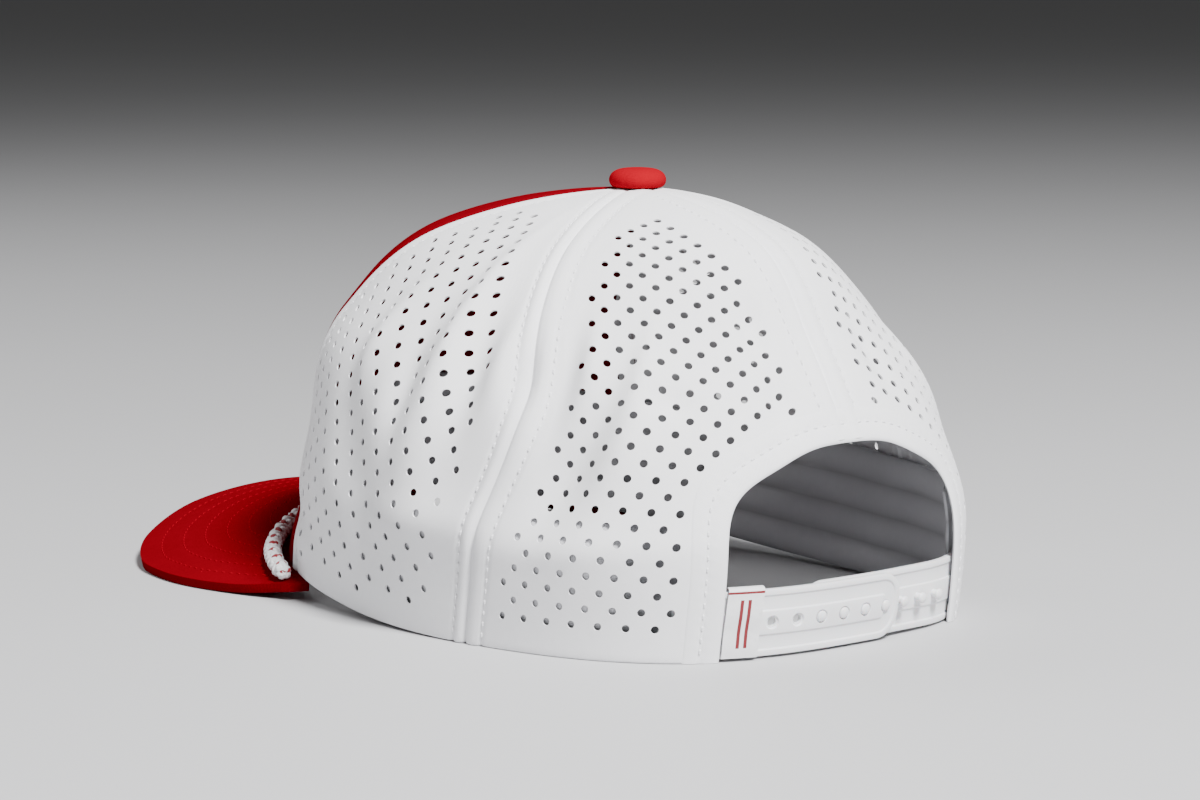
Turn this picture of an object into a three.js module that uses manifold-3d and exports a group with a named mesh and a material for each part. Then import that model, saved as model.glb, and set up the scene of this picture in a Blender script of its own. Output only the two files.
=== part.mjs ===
// Snapback cap: a perforated five-panel crown, a curved brim with a rope along its root,
// a sweatband, a button and a two-piece snap strap under an arched rear opening.
//
// Millimetres, +Z up. The brim points along -Y and the wearer's left side is +X. The cap
// lies on its rear hem and on the side edges of its brim, and the origin is on that surface
// under the middle of the whole cap.
//
// Places on the crown are given by an azimuth, in degrees from the rear middle toward the
// wearer's left, and by a climb, the share of the way from the hem to the top button.

import * as THREE from 'three';
import { mergeVertices } from 'three/addons/utils/BufferGeometryUtils.js';
import Module from 'manifold-3d';

// Sizes

const GAP = 0.3; // between pieces that touch

const CROWN = {
  length: 197, // hem ellipse, front to rear
  width: 161, // hem ellipse, side to side
  height: 116, // surface to the top of the cloth
  lean: 7, // how far the top sits behind the middle of the hem
  hemLift: 19.2, // front middle of the hem above the surface
  wall: 1.4, // side and back cloth
  frontWall: 2.4, // front cloth with its stiffener
  frontProud: 1.2, // front face outside the line of the other panels
  buttonHole: 0.985, // climb where the panels end under the button
};

const ARCH = { halfWidth: 42, height: 54, squareness: 2.8 };

const PERFORATION = { radius: 1.6, sides: 6, archMargin: 11 };

const BUTTON = { radius: 8, dome: 5.2, lip: 0.9, stemRadius: 2.2, stem: 3 };

const BRIM = {
  cornerAzimuth: 124.5, // where the brim's root ends, beside the front panel's foot
  halfWidth: 88,
  reach: 68,
  tipHeight: 13.7,
  edgeHeight: 2.7,
  thickness: 2.6,
  horn: 3.6,
};

const ROPE = { radius: 1.9, endInset: 2 }; // endInset in degrees of azimuth inside the brim's corners

const SWEATBAND = { height: 36, thickness: 1.6, rib: 0.9, clearance: 0.8, start: 29, clearOfStrap: 46 };

const STRAP = {
  bottom: 0.5,
  height: 17.8,
  thickness: 1.3,
  relief: 0.35, // how far the middle band stands out of the face
  pitch: 7.6, // from stud to stud, and from hole to hole
  firstHole: 21.3, // azimuth of the hole nearest the wearer's left
  holes: 7,
  studs: 7,
  firstEngaged: 3, // number of the hole that holds the first stud
  holeRadius: 1.9,
  studRadius: 1.4,
  studHead: 0.4, // how far a fastened stud stands out of its hole
  tip: 5, // from the last hole or stud to the strap's end
  sewnTo: 33, // azimuth where the ends are sewn in behind the panels
};

const LABEL = { width: 9.5, bottom: 0.9, height: 18.4, thickness: 1 };

const GRID = { rows: 15, backColumns: 12, sideColumns: 12, frontColumns: 16, brimColumns: 24 };

// Colours of the materials

const WHITE_CLOTH = { color: 0xe6e6ea, roughness: 0.92, metalness: 0 };
const RED_CLOTH = { color: 0xa80d14, roughness: 0.85, metalness: 0 };
const BRAID = { color: 0xe9e4e2, roughness: 0.8, metalness: 0 };
const WHITE_PLASTIC = { color: 0xeeeef0, roughness: 0.38, metalness: 0 };

// Tables

// Distance of the cloth from the crown's axis at four levels, as shares of the hem ellipse,
// and the hem's height as a share of CROWN.hemLift. The other side mirrors these.
const SECTIONS = [
  { azimuth: 0, hem: 0.975, belly: 0.97, shoulder: 0.74, crest: 0.515, lift: 0 },
  { azimuth: 35, hem: 1.055, belly: 1.025, shoulder: 0.78, crest: 0.495, lift: 0 },
  { azimuth: 70, hem: 0.993, belly: 0.993, shoulder: 0.846, crest: 0.5, lift: 0 },
  { azimuth: 105, hem: 0.995, belly: 1.045, shoulder: 0.903, crest: 0.56, lift: 0.1 },
  { azimuth: 140, hem: 1.085, belly: 1.025, shoulder: 0.92, crest: 0.625, lift: 0.47 },
  { azimuth: 180, hem: 1.03, belly: 0.98, shoulder: 0.875, crest: 0.6, lift: 1 },
];

// Climb of those four levels and of the top, with the height reached there as a share of
// the height that the crown has above its hem.
const LEVELS = [
  { name: 'hem', climb: 0, height: 0 },
  { name: 'belly', climb: 0.3, height: 0.34 },
  { name: 'shoulder', climb: 0.6, height: 0.68 },
  { name: 'crest', climb: 0.8, height: 0.9 },
  { name: 'top', climb: 1, height: 1 },
];

// Azimuth of the two seams on the wearer's left at each climb; the right side mirrors them.
const SEAMS = [
  { climb: 0, sideBack: 71, frontSide: 133 },
  { climb: 0.25, sideBack: 67.5, frontSide: 136 },
  { climb: 0.5, sideBack: 62, frontSide: 139 },
  { climb: 0.8, sideBack: 66, frontSide: 133 },
  { climb: 1, sideBack: 66.5, frontSide: 128 },
];

// Soft folds where the empty crown gives way. angle: degrees that the fold leans from the
// meridian toward higher azimuths. length, width and depth: shares of the crown's height;
// a negative depth is a valley.
const FOLDS = [
  { azimuth: 87.5, climb: 0.59, angle: 0, length: 0.2, width: 0.06, depth: -0.024 },
  { azimuth: 80, climb: 0.6, angle: 4, length: 0.16, width: 0.055, depth: 0.015 },
  { azimuth: 106, climb: 0.42, angle: 0, length: 0.17, width: 0.07, depth: -0.02 },
  { azimuth: 46, climb: 0.42, angle: -24, length: 0.19, width: 0.06, depth: -0.024 },
  { azimuth: 38.5, climb: 0.46, angle: -24, length: 0.17, width: 0.06, depth: 0.017 },
  { azimuth: 52.5, climb: 0.56, angle: 0, length: 0.1, width: 0.05, depth: -0.015 },
  { azimuth: -48, climb: 0.46, angle: 20, length: 0.18, width: 0.065, depth: -0.02 },
  { azimuth: -39, climb: 0.5, angle: 18, length: 0.15, width: 0.06, depth: 0.012 },
  { azimuth: -90, climb: 0.56, angle: -6, length: 0.2, width: 0.065, depth: -0.02 },
  { azimuth: -108, climb: 0.44, angle: 0, length: 0.16, width: 0.07, depth: -0.016 },
];

// Half of the brim's outer edge, from behind its corner round to the tip. side: share of the
// half width. ahead: share of the reach, counted from the front of the hem. rise: share of
// the way up from the height of the side edge to that of the tip.
const BRIM_EDGE = [
  { side: 0.955, ahead: -0.46, rise: 0.05 },
  { side: 1, ahead: -0.14, rise: 0 },
  { side: 0.985, ahead: 0.1, rise: 0 },
  { side: 0.93, ahead: 0.33, rise: 0.02 },
  { side: 0.725, ahead: 0.69, rise: 0.25 },
  { side: 0.411, ahead: 0.92, rise: 0.75 },
];

// Faces of the strap from bottom to top: share of its height, and share of its relief.
const STRAP_FACE = [
  { up: 0, relief: 0 },
  { up: 0.3, relief: 0 },
  { up: 0.34, relief: 1 },
  { up: 0.66, relief: 1 },
  { up: 0.7, relief: 0 },
  { up: 1, relief: 0 },
];

// Rows of the sweatband from bottom to top: share of its height, and share of the rib.
const SWEATBAND_FACE = [
  { up: 0, rib: 0.4 },
  { up: 0.14, rib: 0 },
  { up: 0.28, rib: 1 },
  { up: 0.42, rib: 0 },
  { up: 0.56, rib: 1 },
  { up: 0.7, rib: 0 },
  { up: 0.85, rib: 1 },
  { up: 1, rib: 0.2 },
];

// Curves through the tables

const radians = THREE.MathUtils.degToRad;
const lerp = THREE.MathUtils.lerp;

/** Value at x of a smooth curve through (knots, values); an end slope of null is left free. */
function curve(knots, values, x, startSlope = null, endSlope = null) {
  const last = knots.length - 1;
  const step = (i) => knots[i + 1] - knots[i];
  const rise = (i) => (values[i + 1] - values[i]) / step(i);
  const inner = (i) => (rise(i - 1) * step(i) + rise(i) * step(i - 1)) / (step(i - 1) + step(i));
  const slope = (i) => {
    if (i === 0) return startSlope ?? 1.5 * rise(0) - 0.5 * inner(1);
    if (i === last) return endSlope ?? 1.5 * rise(last - 1) - 0.5 * inner(last - 1);
    return inner(i);
  };
  let i = 0;
  while (i < last - 1 && x > knots[i + 1]) i += 1;
  const h = step(i);
  const s = (x - knots[i]) / h;
  return (
    (2 * s ** 3 - 3 * s ** 2 + 1) * values[i] +
    (s ** 3 - 2 * s ** 2 + s) * h * slope(i) +
    (3 * s ** 2 - 2 * s ** 3) * values[i + 1] +
    (s ** 3 - s ** 2) * h * slope(i + 1)
  );
}

const column = (table, name) => table.map((row) => row[name]);
const AZIMUTHS = column(SECTIONS, 'azimuth');
const CLIMBS = column(LEVELS, 'climb');
const HEIGHTS = column(LEVELS, 'height');

/** Azimuth folded onto the wearer's left side, 0 at the rear and 180 at the front. */
const leftAzimuth = (azimuth) => Math.abs(THREE.MathUtils.euclideanModulo(azimuth + 180, 360) - 180);

/** A column of SECTIONS read at any azimuth. */
const section = (name, azimuth) => curve(AZIMUTHS, column(SECTIONS, name), leftAzimuth(azimuth), 0, 0);

const hemHeight = (azimuth) => Math.max(0, CROWN.hemLift * section('lift', azimuth));

const seam = (name, climb) => curve(column(SEAMS, 'climb'), column(SEAMS, name), climb);

// The crown's surface

/** Radius of the hem ellipse at an azimuth. */
function hemEllipse(azimuth) {
  const a = radians(azimuth);
  const [long, wide] = [CROWN.length / 2, CROWN.width / 2];
  return (long * wide) / Math.hypot(wide * Math.cos(a), long * Math.sin(a));
}

/** Distance from the crown's axis to the smooth surface. */
function crownRadius(azimuth, climb) {
  const ring = hemEllipse(azimuth);
  const radii = LEVELS.map(({ name }) => (name === 'top' ? 0 : ring * section(name, azimuth)));
  return curve(CLIMBS, radii, climb);
}

/** Point of the smooth crown surface, without folds. */
function smoothPoint(azimuth, climb) {
  const radius = crownRadius(azimuth, climb);
  const hem = hemHeight(azimuth);
  const z = hem + (CROWN.height - hem) * curve(CLIMBS, HEIGHTS, climb, null, 0);
  const back = CROWN.lean * (z / CROWN.height);
  const a = radians(azimuth);
  return new THREE.Vector3(radius * Math.sin(a), radius * Math.cos(a) + back, z);
}

function crownNormal(azimuth, climb) {
  const [da, dc] = [0.5, 0.004];
  const low = Math.max(0, climb - dc);
  const high = Math.min(CROWN.buttonHole, climb + dc);
  const up = smoothPoint(azimuth, high).sub(smoothPoint(azimuth, low));
  const round = smoothPoint(azimuth + da, climb).sub(smoothPoint(azimuth - da, climb));
  return up.cross(round).normalize();
}

/** How far the folds push the cloth out at a place. */
function foldDepth(azimuth, climb) {
  let depth = 0;
  for (const fold of FOLDS) {
    const turn = THREE.MathUtils.euclideanModulo(azimuth - fold.azimuth + 180, 360) - 180;
    const across = radians(turn) * hemEllipse(fold.azimuth) / CROWN.height;
    const along = (climb - fold.climb) * 1.3;
    const lean = radians(fold.angle);
    const sideways = across * Math.cos(lean) - along * Math.sin(lean);
    const lengthwise = across * Math.sin(lean) + along * Math.cos(lean);
    depth += fold.depth * Math.exp(-((sideways / fold.width) ** 2) - (lengthwise / fold.length) ** 2);
  }
  return depth * CROWN.height;
}

/** Point of the crown, set out of the surface along its normal. */
function crown(azimuth, climb, out = 0) {
  const normal = crownNormal(azimuth, climb);
  return smoothPoint(azimuth, climb).addScaledVector(normal, out + foldDepth(azimuth, climb));
}

/** Point of the hem, whose cut edge is level from face to face. */
function hemPoint(azimuth, out = 0) {
  return crown(azimuth, 0, out).setZ(hemHeight(azimuth));
}

/** Climb of a point at a small height above the hem. */
function climbAt(azimuth, height) {
  const [low, high] = LEVELS;
  return (high.climb * height) / (high.height * (CROWN.height - hemHeight(azimuth)));
}

/** Degrees of azimuth that a length spans near the rear hem. */
const strapDegrees = (length) => THREE.MathUtils.radToDeg(length / (crownRadius(0, 0) - CROWN.wall));

// Solids

function toGeometry(points, index) {
  const geometry = new THREE.BufferGeometry();
  geometry.setAttribute('position', new THREE.Float32BufferAttribute(points.flatMap((p) => p.toArray()), 3));
  geometry.setIndex(index);
  geometry.computeVertexNormals();
  return geometry;
}

/** Closed sheet between two matching faces. Walls stand on every edge that is left open. */
function thicken(outer, inner, faces) {
  const count = outer.length;
  const index = [];
  const edges = new Set(faces.flatMap(([a, b, c]) => [`${a} ${b}`, `${b} ${c}`, `${c} ${a}`]));
  for (const [a, b, c] of faces) index.push(a, b, c, a + count, c + count, b + count);
  for (const edge of edges) {
    const [a, b] = edge.split(' ').map(Number);
    if (!edges.has(`${b} ${a}`)) index.push(b, a, a + count, b, a + count, b + count);
  }
  return toGeometry([...outer, ...inner], index);
}

/** Triangles of a cell around a polygonal hole; both rings run the same way round. */
function ringFaces(corners, hole) {
  const faces = [];
  const turn = (ring, k) => (2 * Math.PI * (k % ring.length)) / ring.length + (k >= ring.length ? 2 * Math.PI : 0);
  let [i, j] = [0, 0];
  while (i < corners.length || j < hole.length) {
    const cornerNext = j >= hole.length || (i < corners.length && turn(corners, i + 1) <= turn(hole, j + 1));
    const [c, h] = [corners[i % corners.length], hole[j % hole.length]];
    if (cornerNext) faces.push([c, corners[(i + 1) % corners.length], h]);
    else faces.push([c, hole[(j + 1) % hole.length], h]);
    if (cornerNext) i += 1;
    else j += 1;
  }
  return faces;
}

/**
 * Sheet over a grid. place(i, j, out) gives a point of the grid on its outer face (out true)
 * or its inner face. A cell named by pierced(i, j) has a polygonal hole through its middle.
 */
function gridSheet({ columns, rows, place, pierced = () => false, holeRadius = 0, holeSides = 6 }) {
  const outer = [];
  const inner = [];
  for (let j = 0; j <= rows; j += 1) {
    for (let i = 0; i <= columns; i += 1) {
      outer.push(place(i, j, true));
      inner.push(place(i, j, false));
    }
  }
  const faces = [];
  for (let j = 0; j < rows; j += 1) {
    for (let i = 0; i < columns; i += 1) {
      const a = j * (columns + 1) + i;
      const [b, c, d] = [a + 1, a + columns + 2, a + columns + 1];
      if (!pierced(i, j)) {
        faces.push([a, d, b], [b, d, c]);
        continue;
      }
      const wide = outer[a].distanceTo(outer[b]);
      const tall = outer[a].distanceTo(outer[d]);
      const hole = [];
      for (let k = 0; k < holeSides; k += 1) {
        // The first corner lies toward the cell's corner a, and the ring climbs first.
        const turn = (-3 * Math.PI) / 4 - (2 * Math.PI * k) / holeSides;
        const u = 0.5 + (holeRadius / wide) * Math.cos(turn);
        const v = 0.5 + (holeRadius / tall) * Math.sin(turn);
        hole.push(outer.length);
        for (const side of [outer, inner]) {
          const low = side[a].clone().lerp(side[b], u);
          const high = side[d].clone().lerp(side[c], u);
          side.push(low.lerp(high, v));
        }
      }
      faces.push(...ringFaces([a, d, c, b], hole));
    }
  }
  return thicken(outer, inner, faces);
}

const wasm = await Module();
wasm.setup();

function toSolid(geometry) {
  const bare = geometry.clone();
  bare.deleteAttribute('normal');
  bare.deleteAttribute('uv');
  const merged = mergeVertices(bare);
  return new wasm.Manifold(
    new wasm.Mesh({
      numProp: 3,
      vertProperties: new Float32Array(merged.attributes.position.array),
      triVerts: new Uint32Array(merged.index.array),
    }),
  );
}

function fromSolid(solid) {
  const { vertProperties, triVerts } = solid.getMesh();
  const geometry = new THREE.BufferGeometry();
  geometry.setAttribute('position', new THREE.BufferAttribute(new Float32Array(vertProperties), 3));
  geometry.setIndex(new THREE.BufferAttribute(new Uint32Array(triVerts), 1));
  geometry.computeVertexNormals();
  return geometry;
}

function piece(name, geometry, material) {
  const mesh = new THREE.Mesh(geometry, new THREE.MeshStandardMaterial(material));
  mesh.name = name;
  return mesh;
}

// Crown panels

/** Points round half of the rear opening, as an outline seen along Y, from right to left. */
function archOutline(margin = 0, steps = 24) {
  const [w, h] = [ARCH.halfWidth + margin, ARCH.height + margin];
  const points = [];
  for (let k = 0; k <= steps; k += 1) {
    const turn = (Math.PI * k) / steps;
    const power = 2 / ARCH.squareness;
    const x = w * Math.sign(Math.cos(turn)) * Math.abs(Math.cos(turn)) ** power;
    points.push(new THREE.Vector2(x, h * Math.abs(Math.sin(turn)) ** power));
  }
  return points;
}

function insideArch(point, margin) {
  const [w, h, n] = [ARCH.halfWidth + margin, ARCH.height + margin, ARCH.squareness];
  return point.y > 0 && Math.abs(point.x / w) ** n + Math.abs(point.z / h) ** n < 1;
}

/** The prism that cuts the rear opening through the back panels. */
function archCutter() {
  const below = 10;
  const outline = archOutline();
  const shape = new THREE.Shape([
    new THREE.Vector2(ARCH.halfWidth, -below),
    ...outline,
    new THREE.Vector2(-ARCH.halfWidth, -below),
  ]);
  const geometry = new THREE.ExtrudeGeometry(shape, { depth: CROWN.length, bevelEnabled: false });
  geometry.rotateX(Math.PI / 2);
  geometry.translate(0, CROWN.length * 1.2, 0);
  return toSolid(geometry);
}

/** One cloth panel between two seams, each given as the azimuth at a climb. */
function panelGeometry({ from, to, columns, outer, inner, perforated }) {
  const climb = (j) => (CROWN.buttonHole * j) / GRID.rows;
  const azimuthAt = (i, j) => {
    const t = climb(j);
    const middle = (from(t) + to(t)) / 2;
    const half = THREE.MathUtils.radToDeg(GAP / 2 / crownRadius(middle, t)) * 1.3;
    return lerp(from(t) + half, to(t) - half, i / columns);
  };
  const place = (i, j, out) => {
    const depth = out ? outer(climb(j)) : inner(climb(j));
    return j === 0 ? hemPoint(azimuthAt(i, j), depth) : crown(azimuthAt(i, j), climb(j), depth);
  };
  const pierced = (i, j) => {
    if (!perforated || (i + j) % 2 || i < 2 || i > columns - 3 || j < 2 || j > 9) return false;
    return !insideArch(crown(azimuthAt(i + 0.5, j + 0.5), climb(j + 0.5)), PERFORATION.archMargin);
  };
  const { radius: holeRadius, sides: holeSides } = PERFORATION;
  return gridSheet({ columns, rows: GRID.rows, place, pierced, holeRadius, holeSides });
}

const clothPanel = (from, to, columns) =>
  panelGeometry({ from, to, columns, outer: () => 0, inner: () => -CROWN.wall, perforated: true });

const sideBack = (climb) => seam('sideBack', climb);
const frontSide = (climb) => seam('frontSide', climb);
const middleBack = () => 0;

const sideLeft = clothPanel(sideBack, frontSide, GRID.sideColumns);
const sideRight = clothPanel((t) => -frontSide(t), (t) => -sideBack(t), GRID.sideColumns);

const arch = archCutter();
const backLeft = fromSolid(toSolid(clothPanel(middleBack, sideBack, GRID.backColumns)).subtract(arch));
const backRight = fromSolid(toSolid(clothPanel((t) => -sideBack(t), middleBack, GRID.backColumns)).subtract(arch));

/** The front panel stands proud of its neighbours and thins out under the button. */
const frontFace = (climb) => CROWN.frontProud * Math.min(1, (1 - climb) / 0.12);
const front = panelGeometry({
  from: frontSide,
  to: (t) => 360 - frontSide(t),
  columns: GRID.frontColumns,
  outer: frontFace,
  inner: () => CROWN.frontProud - CROWN.frontWall,
  perforated: false,
});

// Top button

function buttonGeometry() {
  const { radius, dome, lip, stemRadius, stem } = BUTTON;
  const rise = dome - lip;
  const points = [new THREE.Vector2(0, -stem), new THREE.Vector2(stemRadius, -stem)];
  points.push(new THREE.Vector2(stemRadius, 0), new THREE.Vector2(radius - lip / 2, 0));
  for (const turn of [0, 22, 45, 68, 90]) {
    const a = radians(turn);
    points.push(new THREE.Vector2(turn === 90 ? 0 : radius * Math.cos(a), lip + rise * Math.sin(a)));
  }
  return new THREE.LatheGeometry(points, 20).rotateX(Math.PI / 2);
}

const button = piece('top_button', buttonGeometry(), RED_CLOTH);
button.position.set(0, CROWN.lean, CROWN.height + GAP);

// Brim

const brimAzimuth = (share) => lerp(BRIM.cornerAzimuth, 360 - BRIM.cornerAzimuth, share);

/** The brim's outer edge, from its left corner round the tip to its right corner. */
function brimEdge() {
  const frontOfHem = -smoothPoint(180, 0).y;
  const half = BRIM_EDGE.map(({ side, ahead, rise }) => [
    BRIM.halfWidth * side,
    -frontOfHem - BRIM.reach * ahead,
    lerp(BRIM.edgeHeight, BRIM.tipHeight, rise),
  ]);
  const corner = (share) => {
    const point = smoothPoint(brimAzimuth(share), 0);
    const away = new THREE.Vector3(point.x, point.y, 0).setLength(CROWN.frontProud + BRIM.horn);
    return point.add(away).setZ(point.z - GAP);
  };
  const left = half.map(([x, y, z]) => new THREE.Vector3(x, y, z));
  const right = half.map(([x, y, z]) => new THREE.Vector3(-x, y, z)).reverse();
  const tip = new THREE.Vector3(0, -frontOfHem - BRIM.reach, BRIM.tipHeight);
  return new THREE.CatmullRomCurve3([corner(0), ...left, tip, ...right, corner(1)], false, 'centripetal');
}

/** Point on top of the brim where it meets the face of the front panel. */
const brimRoot = (share, out = CROWN.frontProud) => {
  const hem = hemPoint(brimAzimuth(share), out);
  return hem.setZ(hem.z - GAP);
};

const edgeCurve = brimEdge();

function brimGeometry() {
  const columns = GRID.brimColumns;
  const shares = [0, 0.25, 0.5, 0.75, 1];
  const top = (i, j) => {
    if (j > 0) return brimRoot(i / columns).lerp(edgeCurve.getPointAt(i / columns), shares[j - 1]);
    return brimRoot(i / columns, CROWN.frontProud - CROWN.frontWall);
  };
  // Rows run outward here, so the sheet's outer face is the underside.
  const place = (i, j, out) => {
    const point = top(i, j);
    if (out) point.z -= BRIM.thickness;
    return point;
  };
  return gridSheet({ columns, rows: shares.length, place });
}

// Rope along the root of the brim

/** Middle of the rope where it touches both the front panel and the top of the brim. */
function ropePoint(share) {
  const azimuth = brimAzimuth(share);
  const root = brimRoot(share);
  const face = crownNormal(azimuth, 0);
  const outward = edgeCurve.getPointAt(share).sub(root).normalize();
  const along = new THREE.Vector3(Math.cos(radians(azimuth)), -Math.sin(radians(azimuth)), 0);
  const up = along.cross(outward).normalize();
  const reach = ROPE.radius + GAP;
  const fromFace = reach + face.z * GAP;
  const lean = face.dot(up);
  const square = 1 - lean * lean;
  return root
    .addScaledVector(face, (fromFace - lean * reach) / square)
    .addScaledVector(up, (reach - lean * fromFace) / square);
}

function ropeGeometry() {
  const steps = 22;
  const inset = ROPE.endInset / (brimAzimuth(1) - brimAzimuth(0));
  const points = [...Array(steps + 1).keys()].map((k) => ropePoint(lerp(inset, 1 - inset, k / steps)));
  const sides = 8;
  const circle = [...Array(sides).keys()].map((k) => {
    const a = (2 * Math.PI * k) / sides;
    return new THREE.Vector2(ROPE.radius * Math.cos(a), ROPE.radius * Math.sin(a));
  });
  return new THREE.ExtrudeGeometry(new THREE.Shape(circle), {
    steps: 40,
    extrudePath: new THREE.CatmullRomCurve3(points),
  });
}

// Sweatband

/** Depth of the sweatband's back behind the crown's face, deeper where the straps are sewn in. */
function sweatbandInset(azimuth) {
  const free = CROWN.wall + SWEATBAND.clearance;
  const behindStrap = strapOut(STRAP.sewnTo) + STRAP.thickness + GAP;
  const a = leftAzimuth(azimuth);
  const share = THREE.MathUtils.smoothstep(a, STRAP.sewnTo, SWEATBAND.clearOfStrap);
  return lerp(behindStrap, free, share);
}

function sweatbandGeometry() {
  const columns = 46;
  const place = (i, j, out) => {
    const azimuth = lerp(SWEATBAND.start, 360 - SWEATBAND.start, i / columns);
    const { up, rib } = SWEATBAND_FACE[j];
    const climb = climbAt(azimuth, GAP + (SWEATBAND.height - GAP) * up);
    const depth = sweatbandInset(azimuth) + (out ? 0 : SWEATBAND.thickness + SWEATBAND.rib * rib);
    return crown(azimuth, climb, -depth);
  };
  return gridSheet({ columns, rows: SWEATBAND_FACE.length - 1, place });
}

// Snap strap

/** Depth of a strap's plain face behind the crown's face where it is sewn in. */
function strapOut() {
  return CROWN.wall + GAP + STRAP.relief;
}

/** The inner strap lies one strap deeper, and comes out to the cloth past the outer strap's end. */
function studStrapOut(azimuth) {
  const under = strapOut() + STRAP.thickness + STRAP.relief + GAP;
  const share = THREE.MathUtils.smoothstep(-azimuth, -tipAzimuth() + 1, STRAP.sewnTo - 6);
  return lerp(under, strapOut(), share);
}

const holeAzimuth = (k) => STRAP.firstHole - strapDegrees(STRAP.pitch) * k;
const studAzimuth = (k) => holeAzimuth(STRAP.firstEngaged + k);
const tipAzimuth = () => holeAzimuth(STRAP.holes - 1) - strapDegrees(STRAP.tip);

/**
 * A strap from its sewn end to a rounded tip. cells: azimuths between its columns, rising.
 * The tip is at the first cell, or at the last where tipLast is true.
 */
function strapGeometry({ cells, tipLast, depth, pierced }) {
  const tip = tipLast ? cells.length - 1 : 0;
  const fullness = (i) => [0.55, 0.82, 1][Math.min(2, Math.abs(i - tip))];
  const place = (i, j, out) => {
    const { up, relief } = STRAP_FACE[j];
    const middle = STRAP.bottom + STRAP.height / 2;
    const height = middle + STRAP.height * (up - 0.5) * fullness(i);
    const back = depth(cells[i]) + (out ? -STRAP.relief * relief : STRAP.thickness);
    return crown(cells[i], climbAt(cells[i], height), -back);
  };
  const { holeRadius } = STRAP;
  return gridSheet({ columns: cells.length - 1, rows: STRAP_FACE.length - 1, place, pierced, holeRadius, holeSides: 8 });
}

function holeStrapGeometry() {
  const half = strapDegrees(STRAP.pitch) / 2;
  const last = STRAP.holes - 1;
  const nearTip = strapDegrees(STRAP.tip) / 2;
  const cells = [tipAzimuth(), tipAzimuth() + nearTip * 0.4, holeAzimuth(last) - nearTip, holeAzimuth(last) + nearTip];
  for (let k = last; k >= 0; k -= 1) cells.push(holeAzimuth(k) + half);
  for (const share of [0.35, 0.7, 1]) cells.push(lerp(holeAzimuth(0) + half, STRAP.sewnTo, share));
  const holes = [...Array(STRAP.holes).keys()].map(holeAzimuth);
  const middle = (i) => (cells[i] + cells[i + 1]) / 2;
  const pierced = (i, j) => j === 2 && holes.some((azimuth) => Math.abs(middle(i) - azimuth) < 0.01);
  return strapGeometry({ cells, tipLast: false, depth: strapOut, pierced });
}

function studStrapGeometry() {
  const start = studAzimuth(0) + strapDegrees(STRAP.tip);
  const cells = [];
  const steps = 12;
  for (let k = 0; k <= steps; k += 1) cells.push(lerp(-STRAP.sewnTo, studAzimuth(0), k / steps));
  cells.push(lerp(studAzimuth(0), start, 0.5), lerp(studAzimuth(0), start, 0.8), start);
  const strap = strapGeometry({ cells, tipLast: true, depth: studStrapOut, pierced: () => false });
  let solid = toSolid(strap);
  for (let k = 0; k < STRAP.studs; k += 1) solid = solid.add(toSolid(studGeometry(studAzimuth(k))));
  return fromSolid(solid);
}

/** A stud whose foot is inside the inner strap and whose head stands out of the outer one. */
function studGeometry(azimuth) {
  const climb = climbAt(azimuth, STRAP.bottom + STRAP.height / 2);
  const root = studStrapOut(azimuth) + STRAP.thickness / 2;
  const engaged = studStrapOut(0) - strapOut() + STRAP.relief + STRAP.studHead;
  const length = STRAP.thickness / 2 + engaged;
  const geometry = new THREE.CylinderGeometry(STRAP.studRadius, STRAP.studRadius, length, 8);
  geometry.translate(0, length / 2, 0);
  const turn = new THREE.Quaternion().setFromUnitVectors(new THREE.Vector3(0, 1, 0), crownNormal(azimuth, climb));
  geometry.applyQuaternion(turn);
  const foot = crown(azimuth, climb, -root);
  return geometry.translate(foot.x, foot.y, foot.z);
}

// Label folded over the edge of the opening

/** Azimuth of the opening's side at a small height, with the gap that a neighbour keeps. */
function archSide(height) {
  const n = ARCH.squareness;
  const x = ARCH.halfWidth * (1 - (height / ARCH.height) ** n) ** (1 / n) - 1.5 * GAP;
  const roughly = THREE.MathUtils.radToDeg(Math.asin(x / crownRadius(0, 0)));
  return THREE.MathUtils.radToDeg(Math.asin(x / crownRadius(roughly, climbAt(roughly, height))));
}

function labelGeometry() {
  const columns = 4;
  const span = strapDegrees(LABEL.width);
  const place = (i, j, out) => {
    const height = LABEL.bottom + LABEL.height * (j / 2);
    const azimuth = archSide(height) - span * (1 - i / columns);
    const climb = climbAt(azimuth, height);
    const inside = strapOut() - STRAP.relief - GAP;
    return crown(azimuth, climb, -inside + (out ? LABEL.thickness : 0));
  };
  return gridSheet({ columns, rows: 2, place });
}

// The cap

const cap = new THREE.Group();
cap.add(
  piece('front_panel', front, RED_CLOTH),
  piece('side_panel_left', sideLeft, WHITE_CLOTH),
  piece('side_panel_right', sideRight, WHITE_CLOTH),
  piece('back_panel_left', backLeft, WHITE_CLOTH),
  piece('back_panel_right', backRight, WHITE_CLOTH),
  button,
  piece('brim', brimGeometry(), RED_CLOTH),
  piece('brim_rope', ropeGeometry(), BRAID),
  piece('sweatband', sweatbandGeometry(), WHITE_CLOTH),
  piece('strap_holes', holeStrapGeometry(), WHITE_PLASTIC),
  piece('strap_studs', studStrapGeometry(), WHITE_PLASTIC),
  piece('strap_label', labelGeometry(), WHITE_CLOTH),
);

// The origin goes under the middle of the cap's box, on the surface that it lies on.
cap.updateMatrixWorld(true);
const box = new THREE.Box3().setFromObject(cap, true);
const middle = box.getCenter(new THREE.Vector3());
cap.position.set(-middle.x, -middle.y, -box.min.z);

export default cap;
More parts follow.
